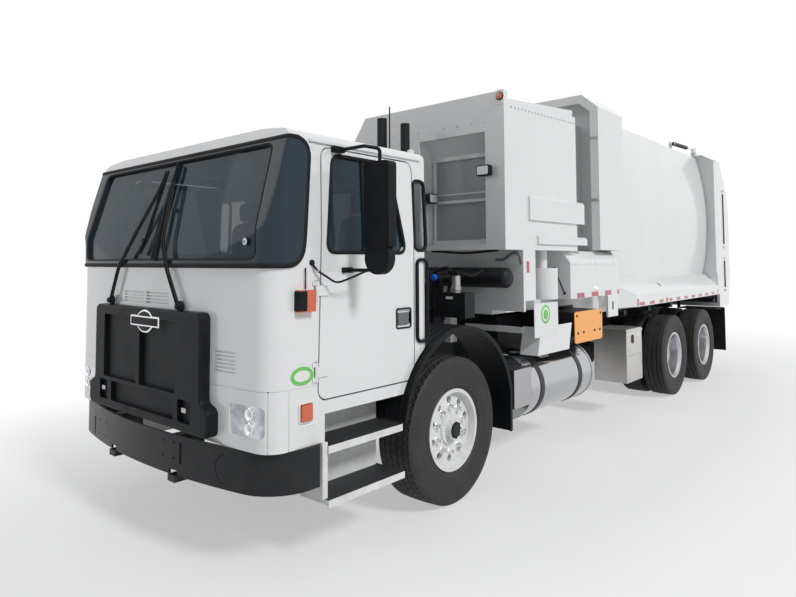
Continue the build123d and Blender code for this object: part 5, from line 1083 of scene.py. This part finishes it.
class TRUCK_OT_body_trim(bpy.types.Operator):
    """Reflective tape, bolts, plates, labels and small fittings on the body's sides"""
    bl_idname = "truck.body_trim"
    bl_label = "Body trim"

    def execute(self, context):
        self.tapes(context.scene.truck_sizes.tape_height)
        self.left_side()
        self.chassis_side()
        self.tail()
        return {"FINISHED"}

    def tapes(self, height):
        piece("locker_tape", [strip(-1.15, 0.05, 1.443, height)], "tape", "dump_body")
        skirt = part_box("skirts")[0].z + 0.030
        for side, sign in SIDES:
            runs = ((0.66, 1.58), (1.76, 4.10))
            strips = [strip(*run, skirt, height * 0.8, sign) for run in runs]
            piece(f"skirt_tape_{side}", strips, "tape", "dump_body")
            ends = [flank(y, skirt + 0.02, 0.055, 0.085, 0.0016, sign=sign) for y in (0.63, 4.12)]
            piece(f"skirt_tape_ends_{side}", ends, "red reflector", "dump_body")
            place = (sign * BODY_HALF, 1.67, skirt + 0.006)
            piece(f"side_marker_{side}", [knob(place, *side_plane(sign), 0.036, 0.012, 28, 0.5)], "amber",
                  "dump_body")
        piece("post_tape_red", [flank(-1.992, 1.735, 0.05, 0.1, 0.0015)], "red reflector", "dump_body")
        piece("post_tape_white", [flank(-1.94, 1.735, 0.05, 0.1, 0.0015)], "label", "dump_body")

    def left_side(self):
        """Bolt row under the hopper's rail, locker's lid line, hinges and stay, brackets on the collar."""
        row = [(BODY_HALF, y, 3.105 + (y + 2.24) * 0.045) for y in np.arange(-2.24, -1.02, 0.061)]
        piece("hopper_side_bolts", bolts(row, side_plane(1), 0.0065, 0.005), "steel", "dump_body")
        shapes = []
        for z in (3.11, 2.44):
            shapes.append(slab((1.172, -0.43, z), FRONT, 0.082, 0.03, 0.012, 0.006))
            shapes += bolts([(1.15, -0.442, z), (1.195, -0.442, z)], FRONT, 0.009, 0.008)
        piece("collar_brackets", shapes, "steel", "dump_body")
        y, (low, high) = -1.16, ((1.16, 1.47), (1.055, 1.715))
        shapes = [tube([(x, y - 0.012, z) for x, z in (low, high)], 0.006, 0.01)]
        shapes += [knob((x, y, z), *FRONT, 0.012, 0.016) for x, z in (low, high)]
        piece("locker_stay", shapes, "plastic", "dump_body")
        shapes = [flank(-0.55, 1.755, 1.20, 0.008, 0.004)]
        shapes += [flank(hinge_y, 1.762, 0.075, 0.03, 0.007, 0.008) for hinge_y in (-1.02, -0.55, -0.08)]
        piece("locker_lid_seam", shapes, "body white", "dump_body")
        piece("locker_latch", [flank(-0.55, 1.50, 0.11, 0.045, 0.006, 0.012),
                               flank(-0.55, 1.495, 0.08, 0.022, 0.008, 0.01, out=0.006)], "chrome", "dump_body")
        piece("post_label", [flank(-0.13, 1.30, 0.034, 0.085, 0.001)], "plastic", "dump_body")

    def chassis_side(self):
        """Orange end plate, white plate with plain green rings, tank and tool box labels."""
        plane = side_plane(1)
        y = -0.765
        piece("arm_end_plate", [flank(y, 1.130, 0.655, 0.31, 0.006, 0.035)], "arm orange")
        heads = [(dy, 1.075) for dy in (-0.26, -0.13, 0.13, 0.26)] + [(dy, 1.245) for dy in (-0.28, 0.28)]
        places = [(BODY_HALF + 0.005, y + dy, z) for dy, z in heads]
        piece("arm_plate_bolts", bolts(places, plane, 0.011, 0.008), "sill black")
        piece("sign_plate", [flank(-1.668, 1.2565, 0.45, 0.303, 0.003, 0.012, out=0.001)], "body white")
        disc = (BODY_HALF + 0.004, -1.688, 1.304)
        for name, finish, radius, height in (("sign_disc", "green print", 0.085, 0.0015),
                                             ("sign_ring", "label", 0.064, 0.0022),
                                             ("sign_middle", "green print", 0.045, 0.0029)):
            piece(name, [knob(disc, *plane, radius, height, 40, 0.02)], finish)
        radius, centre = 0.2855, (0.925, 0.655)
        turn = radians(59)
        lean = ((0, 1, 0), (-sin(turn), 0, cos(turn)))
        place = (centre[0] + radius * cos(turn), -1.47, centre[1] + radius * sin(turn))
        piece("tank_label", [slab(place, lean, 0.17, 0.055, 0.0012)], "label")
        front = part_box("tool_box")[1].x - 0.006
        piece("toolbox_label", [slab((front, 0.60, 0.925), plane, 0.07, 0.05, 0.001)], "label")
        piece("toolbox_latch", [slab((front, 0.42, 0.882), plane, 0.075, 0.10, 0.004, 0.03)], "plastic")
        shapes = bolts([(front, bolt_y, 0.44) for bolt_y in (0.29, 0.65)], plane, 0.008, 0.005)
        piece("toolbox_fold", [slab((front, 0.47, 0.70), plane, 0.44, 0.006, 0.002)] + shapes, "box bright")

    def tail(self):
        """Lock bars and their guides down the tailgate's sides."""
        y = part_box("tailgate")[1].y - 0.33
        for side, sign in SIDES:
            shapes = [flank(y, (low + high) / 2, 0.035, high - low, 0.012, 0.008, sign)
                      for low, high in ((1.34, 1.78), (2.05, 2.88))]
            piece(f"tailgate_lock_bars_{side}", shapes, "sill black", "tailgate")
            shapes = []
            for z in (1.30, 1.82, 2.0, 2.93):
                shapes.append(flank(y, z, 0.07, 0.04, 0.018, 0.008, sign))
                shapes += bolt((sign * (BODY_HALF + 0.018), y, z), *side_plane(sign), 0.009, 0.007)
            piece(f"tailgate_lock_guides_{side}", shapes, "body white", "tailgate")


classes = (TruckColours, TruckSizes, TRUCK_OT_finishes, TRUCK_OT_stage, TRUCK_OT_tyres, TRUCK_OT_wheel_fittings,
           TRUCK_OT_window_seals, TRUCK_OT_seats, TRUCK_OT_cab_trim, TRUCK_OT_behind_cab, TRUCK_OT_body_trim)


class TRUCK_PT_panel(bpy.types.Panel):
    """Lists the truck's parts"""
    bl_idname = "TRUCK_PT_panel"
    bl_label = "Refuse truck"
    bl_space_type = "VIEW_3D"
    bl_region_type = "UI"
    bl_category = "Truck"

    def draw(self, context):
        for cls in classes:
            if issubclass(cls, bpy.types.Operator):
                self.layout.operator(cls.bl_idname)


def register():
    for cls in classes + (TRUCK_PT_panel,):
        bpy.utils.register_class(cls)
    bpy.types.Scene.truck_colours = bpy.props.PointerProperty(type=TruckColours)
    bpy.types.Scene.truck_sizes = bpy.props.PointerProperty(type=TruckSizes)


def unregister():
    del bpy.types.Scene.truck_sizes, bpy.types.Scene.truck_colours
    for cls in reversed(classes + (TRUCK_PT_panel,)):
        bpy.utils.unregister_class(cls)


def main():
    register()
    for cls in classes:
        if issubclass(cls, bpy.types.Operator):
            group, name = cls.bl_idname.split(".")
            getattr(getattr(bpy.ops, group), name)()


if __name__ == "__main__":
    main()
